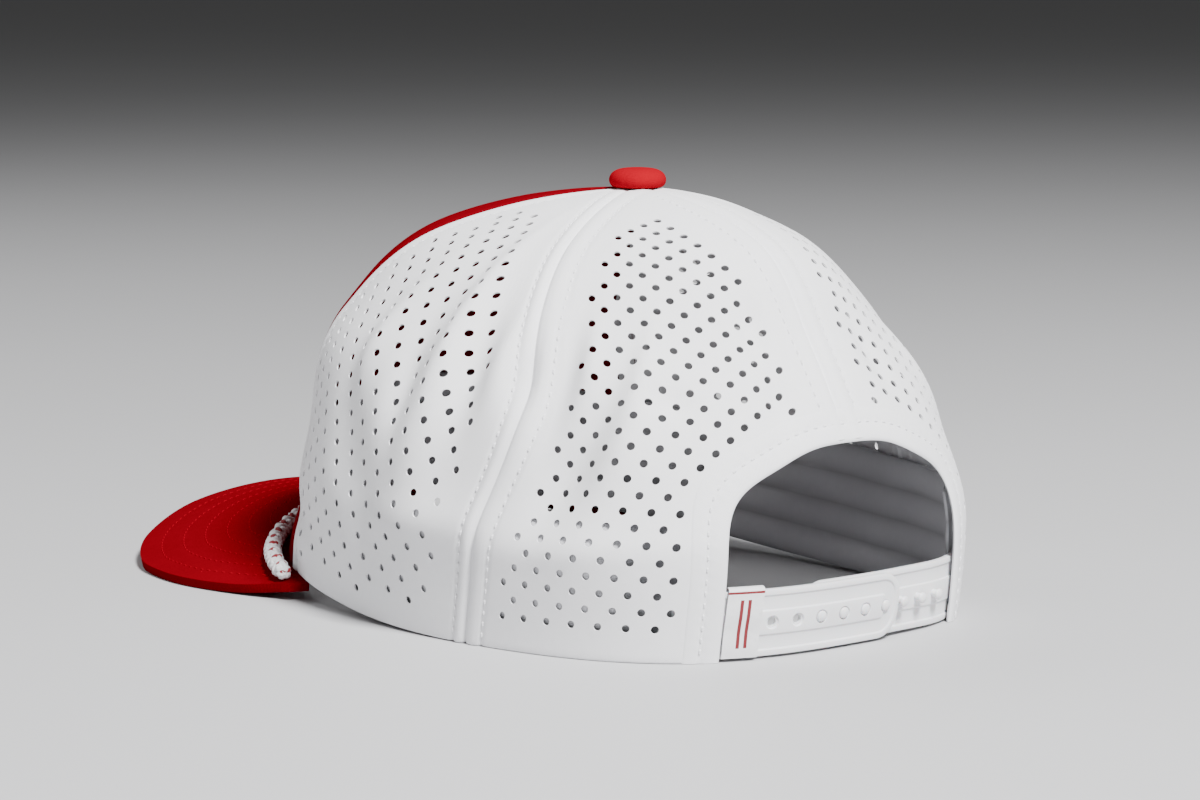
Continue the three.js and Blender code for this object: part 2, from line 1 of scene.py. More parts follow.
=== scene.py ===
"""Dresses the solids of a snapback cap: perforated cloth panels with folded hems and seams,
a curved brim with stitched rows, a braided rope, a ribbed sweatband, a covered button, a
snap strap and a folded label.

Metres, +Z up. The brim points along -Y and the wearer's left side is +X. Places on the crown
are given by an azimuth, in degrees from the rear middle toward the wearer's left, and by a
climb, the share of the way from the hem to the button. Sizes in the tables are millimetres.
"""

import math

import bmesh
import bpy
import numpy as np
from bpy.props import FloatProperty, FloatVectorProperty, IntProperty, PointerProperty
from mathutils import Matrix, Vector
from mathutils.bvhtree import BVHTree


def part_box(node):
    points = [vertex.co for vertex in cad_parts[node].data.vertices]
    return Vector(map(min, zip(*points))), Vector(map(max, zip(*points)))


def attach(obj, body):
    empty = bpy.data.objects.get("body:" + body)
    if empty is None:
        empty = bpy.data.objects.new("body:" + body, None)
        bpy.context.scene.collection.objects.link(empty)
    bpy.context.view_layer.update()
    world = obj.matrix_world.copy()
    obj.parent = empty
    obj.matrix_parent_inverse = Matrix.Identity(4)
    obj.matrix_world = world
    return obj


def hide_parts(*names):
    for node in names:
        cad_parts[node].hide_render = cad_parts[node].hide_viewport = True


bl_info = {
    "name": "Snapback Cap",
    "version": (1, 0, 0),
    "blender": (4, 5, 0),
    "location": "View3D > Sidebar > Cap",
    "description": "Dresses a snapback cap in sewn cloth, braided rope and moulded plastic",
    "category": "Object",
}

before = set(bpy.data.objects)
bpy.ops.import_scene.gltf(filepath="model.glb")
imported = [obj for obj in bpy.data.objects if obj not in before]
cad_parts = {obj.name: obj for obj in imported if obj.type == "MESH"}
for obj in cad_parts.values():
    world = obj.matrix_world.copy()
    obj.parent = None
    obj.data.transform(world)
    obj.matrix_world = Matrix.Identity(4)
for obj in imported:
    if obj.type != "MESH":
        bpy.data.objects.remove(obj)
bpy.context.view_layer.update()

MM = 0.001

# Sizes of the solids, in millimetres

CROWN = {
    "length": 197, "width": 161, "height": 116, "lean": 7, "hem_lift": 19.2, "wall": 1.4,
    "front_wall": 2.4, "front_proud": 1.2, "button_hole": 0.985,
}
ARCH = {"half_width": 42, "height": 54, "squareness": 2.8}
BRIM = {
    "corner": 124.5, "half_width": 88, "reach": 68, "tip_height": 13.7, "edge_height": 2.7, "thickness": 2.6,
    "horn": 3.6,
}
STRAP = {
    "bottom": 0.5, "height": 17.8, "thickness": 1.3, "relief": 0.35, "pitch": 7.6, "first_hole": 21.3,
    "holes": 7, "first_engaged": 3, "tip": 5, "sewn_to": 33,
}
LABEL = {"width": 9.5, "bottom": 0.9, "height": 18.4}
SWEATBAND = {"height": 36, "start": 29, "clearance": 0.8, "clear_of_strap": 46}
GAP = 0.3

# Distance of the cloth from the crown's axis as shares of the hem ellipse, and the hem's lift
AZIMUTHS = [0, 35, 70, 105, 140, 180]
HEM = [0.975, 1.055, 0.993, 0.995, 1.085, 1.03]
BELLY = [0.97, 1.025, 0.993, 1.045, 1.025, 0.98]
SHOULDER = [0.74, 0.78, 0.846, 0.903, 0.92, 0.875]
CREST = [0.515, 0.495, 0.5, 0.56, 0.625, 0.6]
LIFT = [0, 0, 0, 0.1, 0.47, 1]

CLIMBS = [0, 0.3, 0.6, 0.8, 1]
HEIGHTS = [0, 0.34, 0.68, 0.9, 1]

SEAM_CLIMBS = [0, 0.25, 0.5, 0.8, 1]
SIDE_BACK = [71, 67.5, 62, 66, 66.5]
FRONT_SIDE = [133, 136, 139, 133, 128]

# Soft folds: azimuth, climb, lean in degrees, then length, width and depth as shares of the height
FOLDS = [
    (87.5, 0.59, 0, 0.2, 0.06, -0.024), (80, 0.6, 4, 0.16, 0.055, 0.015),
    (106, 0.42, 0, 0.17, 0.07, -0.02), (46, 0.42, -24, 0.19, 0.06, -0.024),
    (38.5, 0.46, -24, 0.17, 0.06, 0.017), (52.5, 0.56, 0, 0.1, 0.05, -0.015),
    (-48, 0.46, 20, 0.18, 0.065, -0.02), (-39, 0.5, 18, 0.15, 0.06, 0.012),
    (-90, 0.56, -6, 0.2, 0.065, -0.02), (-108, 0.44, 0, 0.16, 0.07, -0.016),
]
# Smaller folds, dents and puckers between them, and the ledge above the sweatband. The first two
# take back what the photo doesn't show of the solids' folds.
CREASES = [
    (80, 0.6, 4, 0.16, 0.055, -0.015), (87.5, 0.59, 0, 0.2, 0.06, 0.018),
    (83.5, 0.6, 0, 0.2, 0.045, 0.024), (86, 0.37, 0, 0.15, 0.08, 0.025), (75.5, 0.54, -3, 0.14, 0.05, -0.034),
    (69, 0.57, 0, 0.1, 0.03, 0.009), (92.5, 0.52, 5, 0.16, 0.045, -0.026), (105, 0.55, 0, 0.16, 0.05, 0.022),
    (98, 0.23, 12, 0.16, 0.07, -0.014), (62.5, 0.54, 0, 0.09, 0.045, -0.028), (55.5, 0.5, -6, 0.13, 0.045, -0.028),
    (49.5, 0.57, -6, 0.09, 0.03, 0.012), (42.5, 0.44, -20, 0.16, 0.05, 0.022), (53, 0.35, -20, 0.15, 0.055, -0.025),
    (38.5, 0.56, -20, 0.1, 0.03, 0.013), (14, 0.64, 0, 0.07, 0.05, -0.018), (12, 0.49, 0, 0.07, 0.05, -0.018),
    (33, 0.5, 80, 0.06, 0.035, -0.014), (80, 0.235, 90, 0.3, 0.12, 0.014), (80, 0.24, 90, 0.24, 0.05, 0.008),
    (46, 0.2, 94, 0.26, 0.12, 0.014), (48, 0.215, 95, 0.24, 0.045, 0.009),
    (139, 0.13, 90, 0.2, 0.06, -0.012), (-139, 0.13, 90, 0.2, 0.06, -0.012), (127, 0.09, 0, 0.05, 0.05, 0.01),
    (-46, 0.42, 22, 0.14, 0.05, 0.018), (-53, 0.5, 6, 0.12, 0.04, -0.018), (-64, 0.54, 4, 0.09, 0.035, -0.017),
    (-76, 0.56, 0, 0.13, 0.04, -0.02), (-84, 0.45, 0, 0.2, 0.07, 0.022), (-106, 0.54, -2, 0.15, 0.05, 0.018),
    (-17, 0.56, 4, 0.08, 0.04, -0.01), (-98, 0.24, -12, 0.15, 0.07, -0.014),
    (-80, 0.235, 90, 0.3, 0.12, 0.014), (-80, 0.24, 90, 0.24, 0.045, 0.006),
    (-46, 0.2, 86, 0.26, 0.14, 0.007), (-48, 0.215, 85, 0.2, 0.06, 0.003),
]

# Half of the brim's outer edge: side, ahead and rise as shares
BRIM_EDGE = [
    (0.955, -0.46, 0.05), (1, -0.14, 0), (0.985, 0.1, 0), (0.93, 0.33, 0.02), (0.725, 0.69, 0.25), (0.411, 0.92, 0.75),
]

CLIMB_LENGTH = 1.3  # length of a climb from 0 to 1 as a share of the crown's height
CLIMB_STEP, AZIMUTH_STEP = 0.004, 0.5  # steps between the points that give the crown's slope
RIPPLE = 0.0016  # height of the faint waves all over the cloth as a share of the crown's height

AXIS_Y = (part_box("top_button")[0].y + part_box("top_button")[1].y) / 2 / MM - CROWN["lean"]


# Curves and the crown's surface. Arrays of azimuths and climbs go in, rows of millimetres come out.


def curve(knots, values, x, start=None, end=None):
    """Smooth curve through the knots at every x; an end slope of None is left free."""
    x = np.atleast_1d(np.asarray(x, float))
    knots = np.asarray(knots, float)
    rows = np.array([np.broadcast_to(np.asarray(v, float), x.shape) for v in values])
    step = np.diff(knots)
    wide = step.reshape(-1, 1)
    rise = np.diff(rows, axis=0) / wide
    inner = (rise[:-1] * wide[1:] + rise[1:] * wide[:-1]) / (wide[:-1] + wide[1:])
    first = 1.5 * rise[0] - 0.5 * inner[0] if start is None else np.full(x.shape, float(start))
    last = 1.5 * rise[-1] - 0.5 * inner[-1] if end is None else np.full(x.shape, float(end))
    slope = np.concatenate([[first], inner, [last]])
    i = np.searchsorted(knots[1:-1], x, side="left")
    h = step[i]
    s = (x - knots[i]) / h

    def at(table, j):
        return np.take_along_axis(table, j[None], 0)[0]

    return (
        (2 * s**3 - 3 * s**2 + 1) * at(rows, i)
        + (s**3 - 2 * s**2 + s) * h * at(slope, i)
        + (3 * s**2 - 2 * s**3) * at(rows, i + 1)
        + (s**3 - s**2) * h * at(slope, i + 1)
    )


def flat_array(*values):
    return [np.array(a, float).ravel() for a in np.broadcast_arrays(*values)]


def unit(rows):
    """Rows set to length one."""
    return rows / np.linalg.norm(rows, axis=1, keepdims=True)


def lengths_along(line):
    """How far along a line each of its points lies."""
    return np.concatenate([[0], np.cumsum(np.linalg.norm(np.diff(line, axis=0), axis=1))])


def at_lengths(line, at):
    """Points of a line at the given distances along it."""
    length = lengths_along(line)
    return np.stack([np.interp(at, length, column) for column in line.T], 1)


def from_rear(azimuth):
    """An azimuth set between -180 and 180 degrees."""
    return (azimuth + 180) % 360 - 180


def section(column, azimuth):
    return curve(AZIMUTHS, column, np.abs(from_rear(azimuth)), 0, 0)


def hem_height(azimuth):
    return np.maximum(0, CROWN["hem_lift"] * section(LIFT, azimuth))


def side_back(climb):
    return curve(SEAM_CLIMBS, SIDE_BACK, climb)


def front_side(climb):
    return curve(SEAM_CLIMBS, FRONT_SIDE, climb)


def hem_ring(azimuth):
    """Distance of the hem's ellipse from the crown's axis."""
    a = np.radians(azimuth)
    long, wide = CROWN["length"] / 2, CROWN["width"] / 2
    return long * wide / np.hypot(wide * np.cos(a), long * np.sin(a))


def crown_radius(azimuth, climb):
    azimuth, climb = flat_array(azimuth, climb)
    radii = [hem_ring(azimuth) * section(column, azimuth) for column in (HEM, BELLY, SHOULDER, CREST)]
    return curve(CLIMBS, [*radii, 0], climb)


def smooth_point(azimuth, climb):
    azimuth, climb = flat_array(azimuth, climb)
    radius = crown_radius(azimuth, climb)
    hem = hem_height(azimuth)
    z = hem + (CROWN["height"] - hem) * curve(CLIMBS, HEIGHTS, climb, None, 0)
    a = np.radians(azimuth)
    back = AXIS_Y + CROWN["lean"] * z / CROWN["height"]
    return np.stack([radius * np.sin(a), radius * np.cos(a) + back, z], 1)


def crown_normal(azimuth, climb):
    azimuth, climb = flat_array(azimuth, climb)
    low, high = np.clip(climb - CLIMB_STEP, 0, 0.98), np.clip(climb + CLIMB_STEP, 0.005, CROWN["button_hole"])
    up = smooth_point(azimuth, high) - smooth_point(azimuth, low)
    around = smooth_point(azimuth + AZIMUTH_STEP, climb) - smooth_point(azimuth - AZIMUTH_STEP, climb)
    return unit(np.cross(up, around))


def fold_depth(azimuth, climb, fine=True):
    """How far the folds push the cloth out, in millimetres."""
    depth = np.zeros(np.shape(azimuth))
    for at, level, angle, length, width, push in FOLDS + (CREASES if fine else []):
        across = np.radians(from_rear(azimuth - at)) * hem_ring(at) / CROWN["height"]
        along = (climb - level) * CLIMB_LENGTH
        cos, sin = math.cos(math.radians(angle)), math.sin(math.radians(angle))
        sideways, lengthwise = across * cos - along * sin, across * sin + along * cos
        depth += push * np.exp(-((sideways / width) ** 2) - (lengthwise / length) ** 2)
    if fine:
        ripple = np.sin(azimuth * 0.21 + climb * 9) * np.sin(climb * 17 - azimuth * 0.09)
        depth += RIPPLE * ripple * np.clip(climb * 5, 0, 1) * np.clip((0.95 - climb) * 4, 0, 1)
    return depth * CROWN["height"]


def crown_point(azimuth, climb, out=0.0, fine=True):
    """Points of the crown, set out of its surface along the normal."""
    azimuth, climb, out = flat_array(azimuth, climb, out)
    depth = out + fold_depth(azimuth, climb, fine)
    return smooth_point(azimuth, climb) + crown_normal(azimuth, climb) * depth[:, None]


def climb_at(azimuth, height):
    """Climb of a point at a small height above the hem."""
    room = CROWN["height"] - hem_height(np.asarray(azimuth, float).ravel())
    return CLIMBS[1] * height / (HEIGHTS[1] * room)


def strap_degrees(length):
    return math.degrees(length / (crown_radius(0, 0)[0] - CROWN["wall"]))


def smoothstep(x, low, high):
    s = np.clip((np.asarray(x, float) - low) / (high - low), 0, 1)
    return s * s * (3 - 2 * s)


def arch_margin(x, z):
    """How far a point seen along Y lies outside the rear opening, in millimetres, by halving."""
    n = ARCH["squareness"]
    low, high = np.full(np.shape(x), -40.0), np.full(np.shape(x), 120.0)
    for _ in range(24):
        m = (low + high) / 2
        inside = np.abs(x / (ARCH["half_width"] + m)) ** n + np.abs(np.maximum(z, 0) / (ARCH["height"] + m)) ** n < 1
        high, low = np.where(inside, m, high), np.where(inside, low, m)
    return (low + high) / 2


def crown_place(x, z):
    """Azimuth and climb of the rear crown's point seen at (x, z) along Y, closer each round."""
    x, z = flat_array(x, z)
    azimuth = np.degrees(np.arcsin(np.clip(x / 98, -0.95, 0.95)))
    climb = np.clip(z / CROWN["height"] * 0.9, 0, 0.8)
    for _ in range(14):
        at = smooth_point(azimuth, climb)
        climb = np.clip(climb + (z - at[:, 2]) / (CROWN["height"] * 1.13), -0.02, 0.97)
        azimuth = np.degrees(np.arcsin(np.clip(x / crown_radius(azimuth, climb), -0.97, 0.97)))
    return azimuth, climb


# Modelling helpers


def select_only(piece):
    if bpy.context.object is not None and bpy.context.object.mode != "OBJECT":
        bpy.ops.object.mode_set(mode="OBJECT")
    bpy.ops.object.select_all(action="DESELECT")
    piece.select_set(True)
    bpy.context.view_layer.objects.active = piece


def new_primitive(name, make, **options):
    """A primitive to start a piece from, with everything else deselected."""
    bpy.ops.object.select_all(action="DESELECT")
    if make(**options) != {"FINISHED"}:
        raise RuntimeError(f"Blender could not start {name}")
    piece = bpy.context.object
    piece.name = piece.data.name = name
    return piece


def points_of(piece):
    co = np.empty(len(piece.data.vertices) * 3)
    piece.data.vertices.foreach_get("co", co)
    return co.reshape(-1, 3)


def move_points(piece, co):
    piece.data.vertices.foreach_set("co", np.asarray(co, float).ravel())
    piece.data.update()


def grid(name, columns, rows):
    """A flat grid whose points run row by row from the low corner."""
    add = bpy.ops.mesh.primitive_grid_add
    return new_primitive(name, add, x_subdivisions=columns - 1, y_subdivisions=rows - 1, size=1)


def in_edit_mode(piece, pick=None, mode="FACE"):
    """Opens a piece in edit mode with only the faces, edges or points that pick names selected."""
    select_only(piece)
    bpy.ops.object.mode_set(mode="EDIT")
    bpy.ops.mesh.select_mode(type=mode)
    bpy.ops.mesh.select_all(action="SELECT" if pick is None else "DESELECT")
    if pick is not None:
        mesh = bmesh.from_edit_mesh(piece.data)
        for part in {"FACE": mesh.faces, "EDGE": mesh.edges, "VERT": mesh.verts}[mode]:
            if pick(part):
                part.select_set(True)
        mesh.select_flush_mode()
        bmesh.update_edit_mesh(piece.data)


def out_of_edit_mode():
    bpy.ops.object.mode_set(mode="OBJECT")


def tidy_mesh(piece, distance=1e-6):
    """Merges doubles and turns the faces outwards."""
    in_edit_mode(piece)
    bpy.ops.mesh.remove_doubles(threshold=distance)
    bpy.ops.mesh.select_all(action="SELECT")
    bpy.ops.mesh.normals_make_consistent(inside=False)
    out_of_edit_mode()


def fill_holes(piece):
    in_edit_mode(piece, lambda edge: edge.is_boundary, "EDGE")
    bpy.ops.mesh.edge_face_add()
    out_of_edit_mode()


def close_up(piece):
    """Merges the seam of a rolled sheet and fills its ends."""
    tidy_mesh(piece)
    fill_holes(piece)
    tidy_mesh(piece)


def joined(name, pieces):
    """Several pieces made one."""
    select_only(pieces[0])
    for piece in pieces:
        piece.select_set(True)
    bpy.ops.object.join()
    piece = bpy.context.object
    piece.name = piece.data.name = name
    return piece


def apply_modifier(piece, kind, **options):
    select_only(piece)
    modifier = piece.modifiers.new(kind.title(), kind)
    for key, value in options.items():
        setattr(modifier, key, value)
    if bpy.ops.object.modifier_apply(modifier=modifier.name) != {"FINISHED"}:
        raise RuntimeError(f"{piece.name}: the {kind} modifier could not be applied")


def cut_away(piece, cutter):
    apply_modifier(piece, "BOOLEAN", operation="DIFFERENCE", object=cutter, solver="MANIFOLD")
    bpy.data.objects.remove(cutter)


def copies(name, model, places):
    """One mesh of a model set at every place. A place is a 4x4 matrix."""
    base = points_of(model)
    faces = [list(face.vertices) for face in model.data.polygons]
    turns = np.array([np.array(place) for place in places])
    co = np.einsum("pij,vj->pvi", turns[:, :3, :3], base) + turns[:, None, :3, 3]
    mesh = bpy.data.meshes.new(name)
    all_faces = [[v + k * len(base) for v in face] for k in range(len(places)) for face in faces]
    mesh.from_pydata(co.reshape(-1, 3).tolist(), [], all_faces)
    piece = bpy.data.objects.new(name, mesh)
    bpy.context.collection.objects.link(piece)
    bpy.data.objects.remove(model)
    return piece


def row_of(name, model, places, z=0):
    """Copies of a model at places along X."""
    return copies(name, model, [Matrix.Translation((x, 0, z)) for x in places])


def facing(point, along, normal):
    """Matrix that puts a model's X along a line and its Z out of a surface."""
    x = along / np.linalg.norm(along)
    z = normal - x * float(np.dot(normal, x))
    z /= np.linalg.norm(z)
    y = np.cross(z, x)
    matrix = np.eye(4)
    matrix[:3, 0], matrix[:3, 1], matrix[:3, 2], matrix[:3, 3] = x, y, z, point
    return matrix


def set_uv(piece, name, uv_of_points):
    """Gives the piece one UV map, read from a table with a row for each point."""
    mesh = piece.data
    while mesh.uv_layers:
        mesh.uv_layers.remove(mesh.uv_layers[0])
    layer = mesh.uv_layers.new(name=name)
    corners = np.empty(len(mesh.loops), int)
    mesh.loops.foreach_get("vertex_index", corners)
    layer.data.foreach_set("uv", np.asarray(uv_of_points, float)[corners].ravel())


def sheet(name, columns, rows, co, uv, layer="Pattern"):
    """A grid laid through the given points, in millimetres, with its UV map."""
    piece = grid(name, columns, rows)
    move_points(piece, co * MM)
    set_uv(piece, layer, uv)
    return piece


def turned(radius, height, sides):
    """Radius, angle and height of the points of a profile turned round Z, ring by ring."""
    turn = np.linspace(0, 2 * np.pi, sides + 1)
    return np.repeat(radius, sides + 1), np.tile(turn, len(radius)), np.repeat(height, sides + 1)


def smooth(piece, angle=40):
    select_only(piece)
    bpy.ops.object.shade_smooth_by_angle(angle=math.radians(angle))


def finish_piece(piece, material, slot, *nodes):
    """Gives a piece its material and sets it on the cap in place of its solids; slot is not used."""
    piece.data.materials.clear()
    piece.data.materials.append(material)
    if nodes:
        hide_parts(*nodes)
    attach(piece, "root")


# Materials


class Shade:
    """Builds a material's nodes one after another."""

    def __init__(self, name):
        self.material = bpy.data.materials.new(name)
        self.material.use_nodes = True
        self.nodes = self.material.node_tree.nodes
        self.links = self.material.node_tree.links
        self.shader = self.nodes["Principled BSDF"]

    def node(self, kind, *inputs, **options):
        made = self.nodes.new(kind)
        for key, value in options.items():
            setattr(made, key, value)
        for i, value in enumerate(inputs):
            self.plug(made.inputs[i], value)
        return made

    def plug(self, socket, value):
        if value is None:
            return
        if isinstance(value, bpy.types.NodeSocket):
            self.links.new(value, socket)
        else:
            socket.default_value = value

    def math(self, operation, a, b=None, c=None):
        return self.node("ShaderNodeMath", a, b, c, operation=operation).outputs[0]

    def wave(self, value, period):
        """Sine of a value that repeats after the period."""
        return self.math("SINE", self.math("MULTIPLY", value, 2 * math.pi / period))

    def uv(self, name):
        split = self.node("ShaderNodeSeparateXYZ", self.node("ShaderNodeUVMap", uv_map=name).outputs[0])
        return split.outputs[0], split.outputs[1]

    def noise(self, scale, detail):
        made = self.node("ShaderNodeTexNoise")
        made.inputs["Scale"].default_value = scale
        made.inputs["Detail"].default_value = detail
        self.plug(made.inputs["Vector"], self.node("ShaderNodeTexCoord").outputs["Object"])
        return made.outputs["Fac"]

    def mix(self, factor, a, b):
        made = self.node("ShaderNodeMix", data_type="RGBA")
        for name, value in (("Factor_Float", factor), ("A_Color", a), ("B_Color", b)):
            socket = next(s for s in made.inputs if s.identifier == name)
            self.plug(socket, value)
        return next(s for s in made.outputs if s.identifier == "Result_Color")

    def bump(self, height, strength, distance, under=None):
        made = self.node("ShaderNodeBump")
        made.inputs["Strength"].default_value = strength
        made.inputs["Distance"].default_value = distance
        self.plug(made.inputs["Height"], height)
        if under is not None:
            self.plug(made.inputs["Normal"], under)
        return made.outputs[0]

    def set(self, **values):
        for name, value in values.items():
            self.plug(self.shader.inputs[name.replace("_", " ")], value)
        return self.material


def colour(value, share=1.0):
    return (*[min(1.0, c * share) for c in value[:3]], 1)


# Colour setting, distance between threads in millimetres, share of the colour in the dark
# places, roughness, sheen and gloss of each woven cloth
CLOTHS = {
    "white_cloth": ("white", 0.42, 0.9, 0.9, 0.05, 0.05),
    "red_cloth": ("red", 0.5, 0.72, 0.9, 0.0, 0.0),
    "button_cloth": ("button", 0.5, 0.85, 0.85, 0.0, 0.0),
    "brim_cloth": ("red", 0.6, 0.72, 0.9, 0.0, 0.0),
    "sweatband_cloth": ("sweatband", 0.55, 0.85, 0.88, 0.35, 0.15),
}
# Colour setting of each thread and the thread's brightness beside it
THREADS = {"white_thread": ("white", 1), "red_thread": ("red", 1.5)}

MOTTLE_SCALE, CLOUD_SCALE = 420, 38  # of the small and the wide unevenness of cloth
MOTTLE_SHARE, CLOUD_SHARE, WEAVE_SHARE = 0.45, 0.55, 0.12  # of its tone
# Painted shade: the grooves between padded ribs are coloured darker, as the ribs would shade them.
GROOVE_PAINTED_SHADE = 0.58  # share of the colour in the grooves between padded ribs


def woven(name, tint, thread, dark, roughness, sheen, gloss, ribs=0):
    """Plain woven cloth on a UV map in millimetres; thread is the distance between threads.

    Cloth padded in ribs, a given number of millimetres apart along u, gets painted shade in its grooves, a darker
    colour where the ribs shade each other.
    """
    shade = Shade(name)
    u, v = shade.uv("Pattern")
    weave = shade.math("MULTIPLY", shade.wave(u, thread), shade.wave(v, thread))
    mottle, cloud = shade.noise(MOTTLE_SCALE, 2), shade.noise(CLOUD_SCALE, 2)
    level = shade.math("MULTIPLY_ADD", mottle, MOTTLE_SHARE, shade.math("MULTIPLY", cloud, CLOUD_SHARE))
    level = shade.math("MULTIPLY_ADD", weave, WEAVE_SHARE, level)
    tone = shade.mix(level, colour(tint, dark), colour(tint))
    if ribs:
        # Painted shade: the colour darkens toward each groove between the ribs.
        swell = shade.math("ABSOLUTE", shade.wave(u, 2 * ribs))
        tone = shade.mix(shade.math("POWER", swell, 0.6), colour(tint, GROOVE_PAINTED_SHADE), tone)
    fine = shade.bump(weave, 0.35, 0.00006)
    rough = shade.math("MULTIPLY_ADD", mottle, 0.12, roughness - 0.06)
    shade.set(Base_Color=tone, Roughness=rough, Normal=shade.bump(cloud, 0.25, 0.0003, fine))
    return shade.set(Sheen_Weight=sheen, Sheen_Roughness=0.45, Specular_IOR_Level=gloss)


def moulded(name, tint):
    """Moulded plastic with a faint haze and flow marks."""
    roughness = 0.34
    shade = Shade(name)
    haze = shade.noise(60, 3)
    shade.set(Base_Color=shade.mix(haze, colour(tint, 0.94), colour(tint)))
    shade.set(Roughness=shade.math("MULTIPLY_ADD", haze, 0.14, roughness - 0.07))
    shade.set(Normal=shade.bump(shade.noise(1500, 2), 0.12, 0.00008))
    return shade.set(Specular_IOR_Level=0.5, Subsurface_Weight=0.12, Subsurface_Scale=0.002)


def made_once(name, make):
    """The material of that name, made the first time; the CAD's own materials keep their names."""
    name = "look_" + name
    return bpy.data.materials.get(name) or make(name)


def cloth(cap, name, ribs=0):
    dye, *weave = CLOTHS[name]
    return made_once(name, lambda made: woven(made, getattr(cap.colours, dye), *weave, ribs))


def thread_material(cap, name):
    def make(made):
        dye, bright = THREADS[name]
        tint = [bright * c for c in getattr(cap.colours, dye)]
        shade = Shade(made)
        twist = shade.noise(2600, 2)
        shade.set(Base_Color=shade.mix(twist, colour(tint, 0.8), colour(tint)))
        shade.set(Normal=shade.bump(twist, 0.2, 0.00005))
        return shade.set(Roughness=0.8, Specular_IOR_Level=0.0)

    return made_once(name, make)


# Crown panels

# Distances from a seam, in millimetres on a panel about 95 mm wide, where a column of the grid runs
EDGE_COLUMNS = [0, 0.3, 0.6, 1, 1.5, 2.2, 3, 3.6, 4.1, 4.6, 5.2, 5.9, 6.5, 7.1, 8]
NOMINAL_WIDTH, COLUMN_STEP = 95, 1.7  # and the distance between the columns further in
HEM_FOLD = 0.7  # radius of the folded hem
HEM_TURN = 4.0  # how far the folded cloth climbs inside
STITCH_SINK = 0.32  # how deep the stitches beside a seam lie in the cloth
PANEL_SMOOTH = 50  # degrees between faces that are shaded as one

# The relief beside a seam, in millimetres: depth and width of the groove, height and spread of the
# swell as shares of the way to the stitches, and depth and width of their pull
GROOVE, SWELL, PULL = (-0.9, 0.75), (0.42, 0.5, 0.3), (-0.6, 0.62)

# How the worn opening's edge sways: by how many millimetres, at which angle, over how many degrees
SWAY = [(3.0, 36, 17), (-0.7, 66, 14)]

# How the lattice of holes lies on a left panel, with x toward the front: for x and for y, the
# origin, the shares of the steps along and up, their twist and the bend of the columns
LATTICE = {
    "side": ((-13.2, 1.11, -0.54, -2.0, 2.8), (15.5, 0.19, 1.1, 0, -1.2)),
    "back": ((0.5, 0.96, 0.06, -0.75, -0.7), (8.5, 0.01, 1, 1.25, -0.75)),
}


class Gore:
    """Flat pattern of a crown panel: x across from its middle, y up from the top of the hem's fold."""

    def __init__(self, start, end):
        self.start, self.end = start, end
        self.levels = np.linspace(0, CROWN["button_hole"], 240)
        middle = (start(self.levels) + end(self.levels)) / 2
        self.lengths = lengths_along(smooth_point(middle, self.levels))
        self.widths = np.radians(end(self.levels) - start(self.levels)) * crown_radius(middle, self.levels)

    @property
    def height(self):
        return self.lengths[-1] - HEM_FOLD

    def climb(self, y):
        return np.interp(y + HEM_FOLD, self.lengths, self.levels)

    def width(self, y):
        return np.interp(y + HEM_FOLD, self.lengths, self.widths)

    def azimuth(self, x, y):
        t = self.climb(y)
        return self.start(t) + (self.end(t) - self.start(t)) * (x / self.width(y) + 0.5)

    def from_flat(self, x, y):
        """Where a point of the spread-out cloth comes to lie: rows fall away beside the middle line."""
        radius = crown_radius((self.start(self.levels) + self.end(self.levels)) / 2, self.levels)
        bends = np.clip(-np.gradient(radius, self.lengths) / radius, 1e-4, 0.03)
        low = y
        for _ in range(4):
            bend = np.interp(low + HEM_FOLD, self.lengths, bends)
            turn = np.arcsin(np.clip(bend * x, -0.95, 0.95))
            low = y - (1 - np.cos(turn)) / bend
        return turn / bend, low


def seam_relief(near, stitch, along, pitch):
    """The cloth dips into a seam, swells, and dips again under its stitches."""
    groove = GROOVE[0] * np.exp(-((near / GROOVE[1]) ** 2))
    swell = SWELL[0] * np.exp(-(((near - stitch * SWELL[1]) / (stitch * SWELL[2])) ** 2))
    tight = 0.72 + 0.28 * np.cos(2 * np.pi * along / pitch)
    return groove + swell + PULL[0] * tight * np.exp(-(((near - stitch) / PULL[1]) ** 2))


def panel_columns():
    """Places across a panel, from -0.5 to 0.5, of the columns of its grid."""
    edge = EDGE_COLUMNS[-1]
    inner = NOMINAL_WIDTH - 2 * edge
    count = round(inner / COLUMN_STEP)
    middle = [edge + inner * k / count for k in range(1, count)]
    places = [*EDGE_COLUMNS, *middle, *[NOMINAL_WIDTH - e for e in reversed(EDGE_COLUMNS)]]
    return np.array(places) / NOMINAL_WIDTH - 0.5


def panel_rows(gore, pitch):
    """Heights of the rows of a panel's grid, from inside the folded hem to the button."""
    turn = math.pi * HEM_FOLD
    under = [-turn - HEM_TURN, -turn - 2, -turn, *[-turn * k / 6 for k in range(5, 0, -1)]]
    count = round(gore.height / (pitch / 2))
    return np.array([*under, *(gore.height * k / count for k in range(count + 1))])


def flat_panel(name, gore, cap):
    """The panel's cloth lying flat, before it is pierced and bent."""
    columns, rows = panel_columns(), panel_rows(gore, cap.stitching.pitch / MM)
    piece = grid(name, len(columns), len(rows))
    x, y = np.meshgrid(columns, rows)
    x = x * gore.width(np.maximum(rows, 0))[:, None]
    move_points(piece, np.stack([x.ravel(), y.ravel(), np.zeros(x.size)], 1))
    thickness = cap.cloth.thickness / MM
    apply_modifier(piece, "SOLIDIFY", thickness=thickness, offset=-1, use_even_offset=False)
    return piece


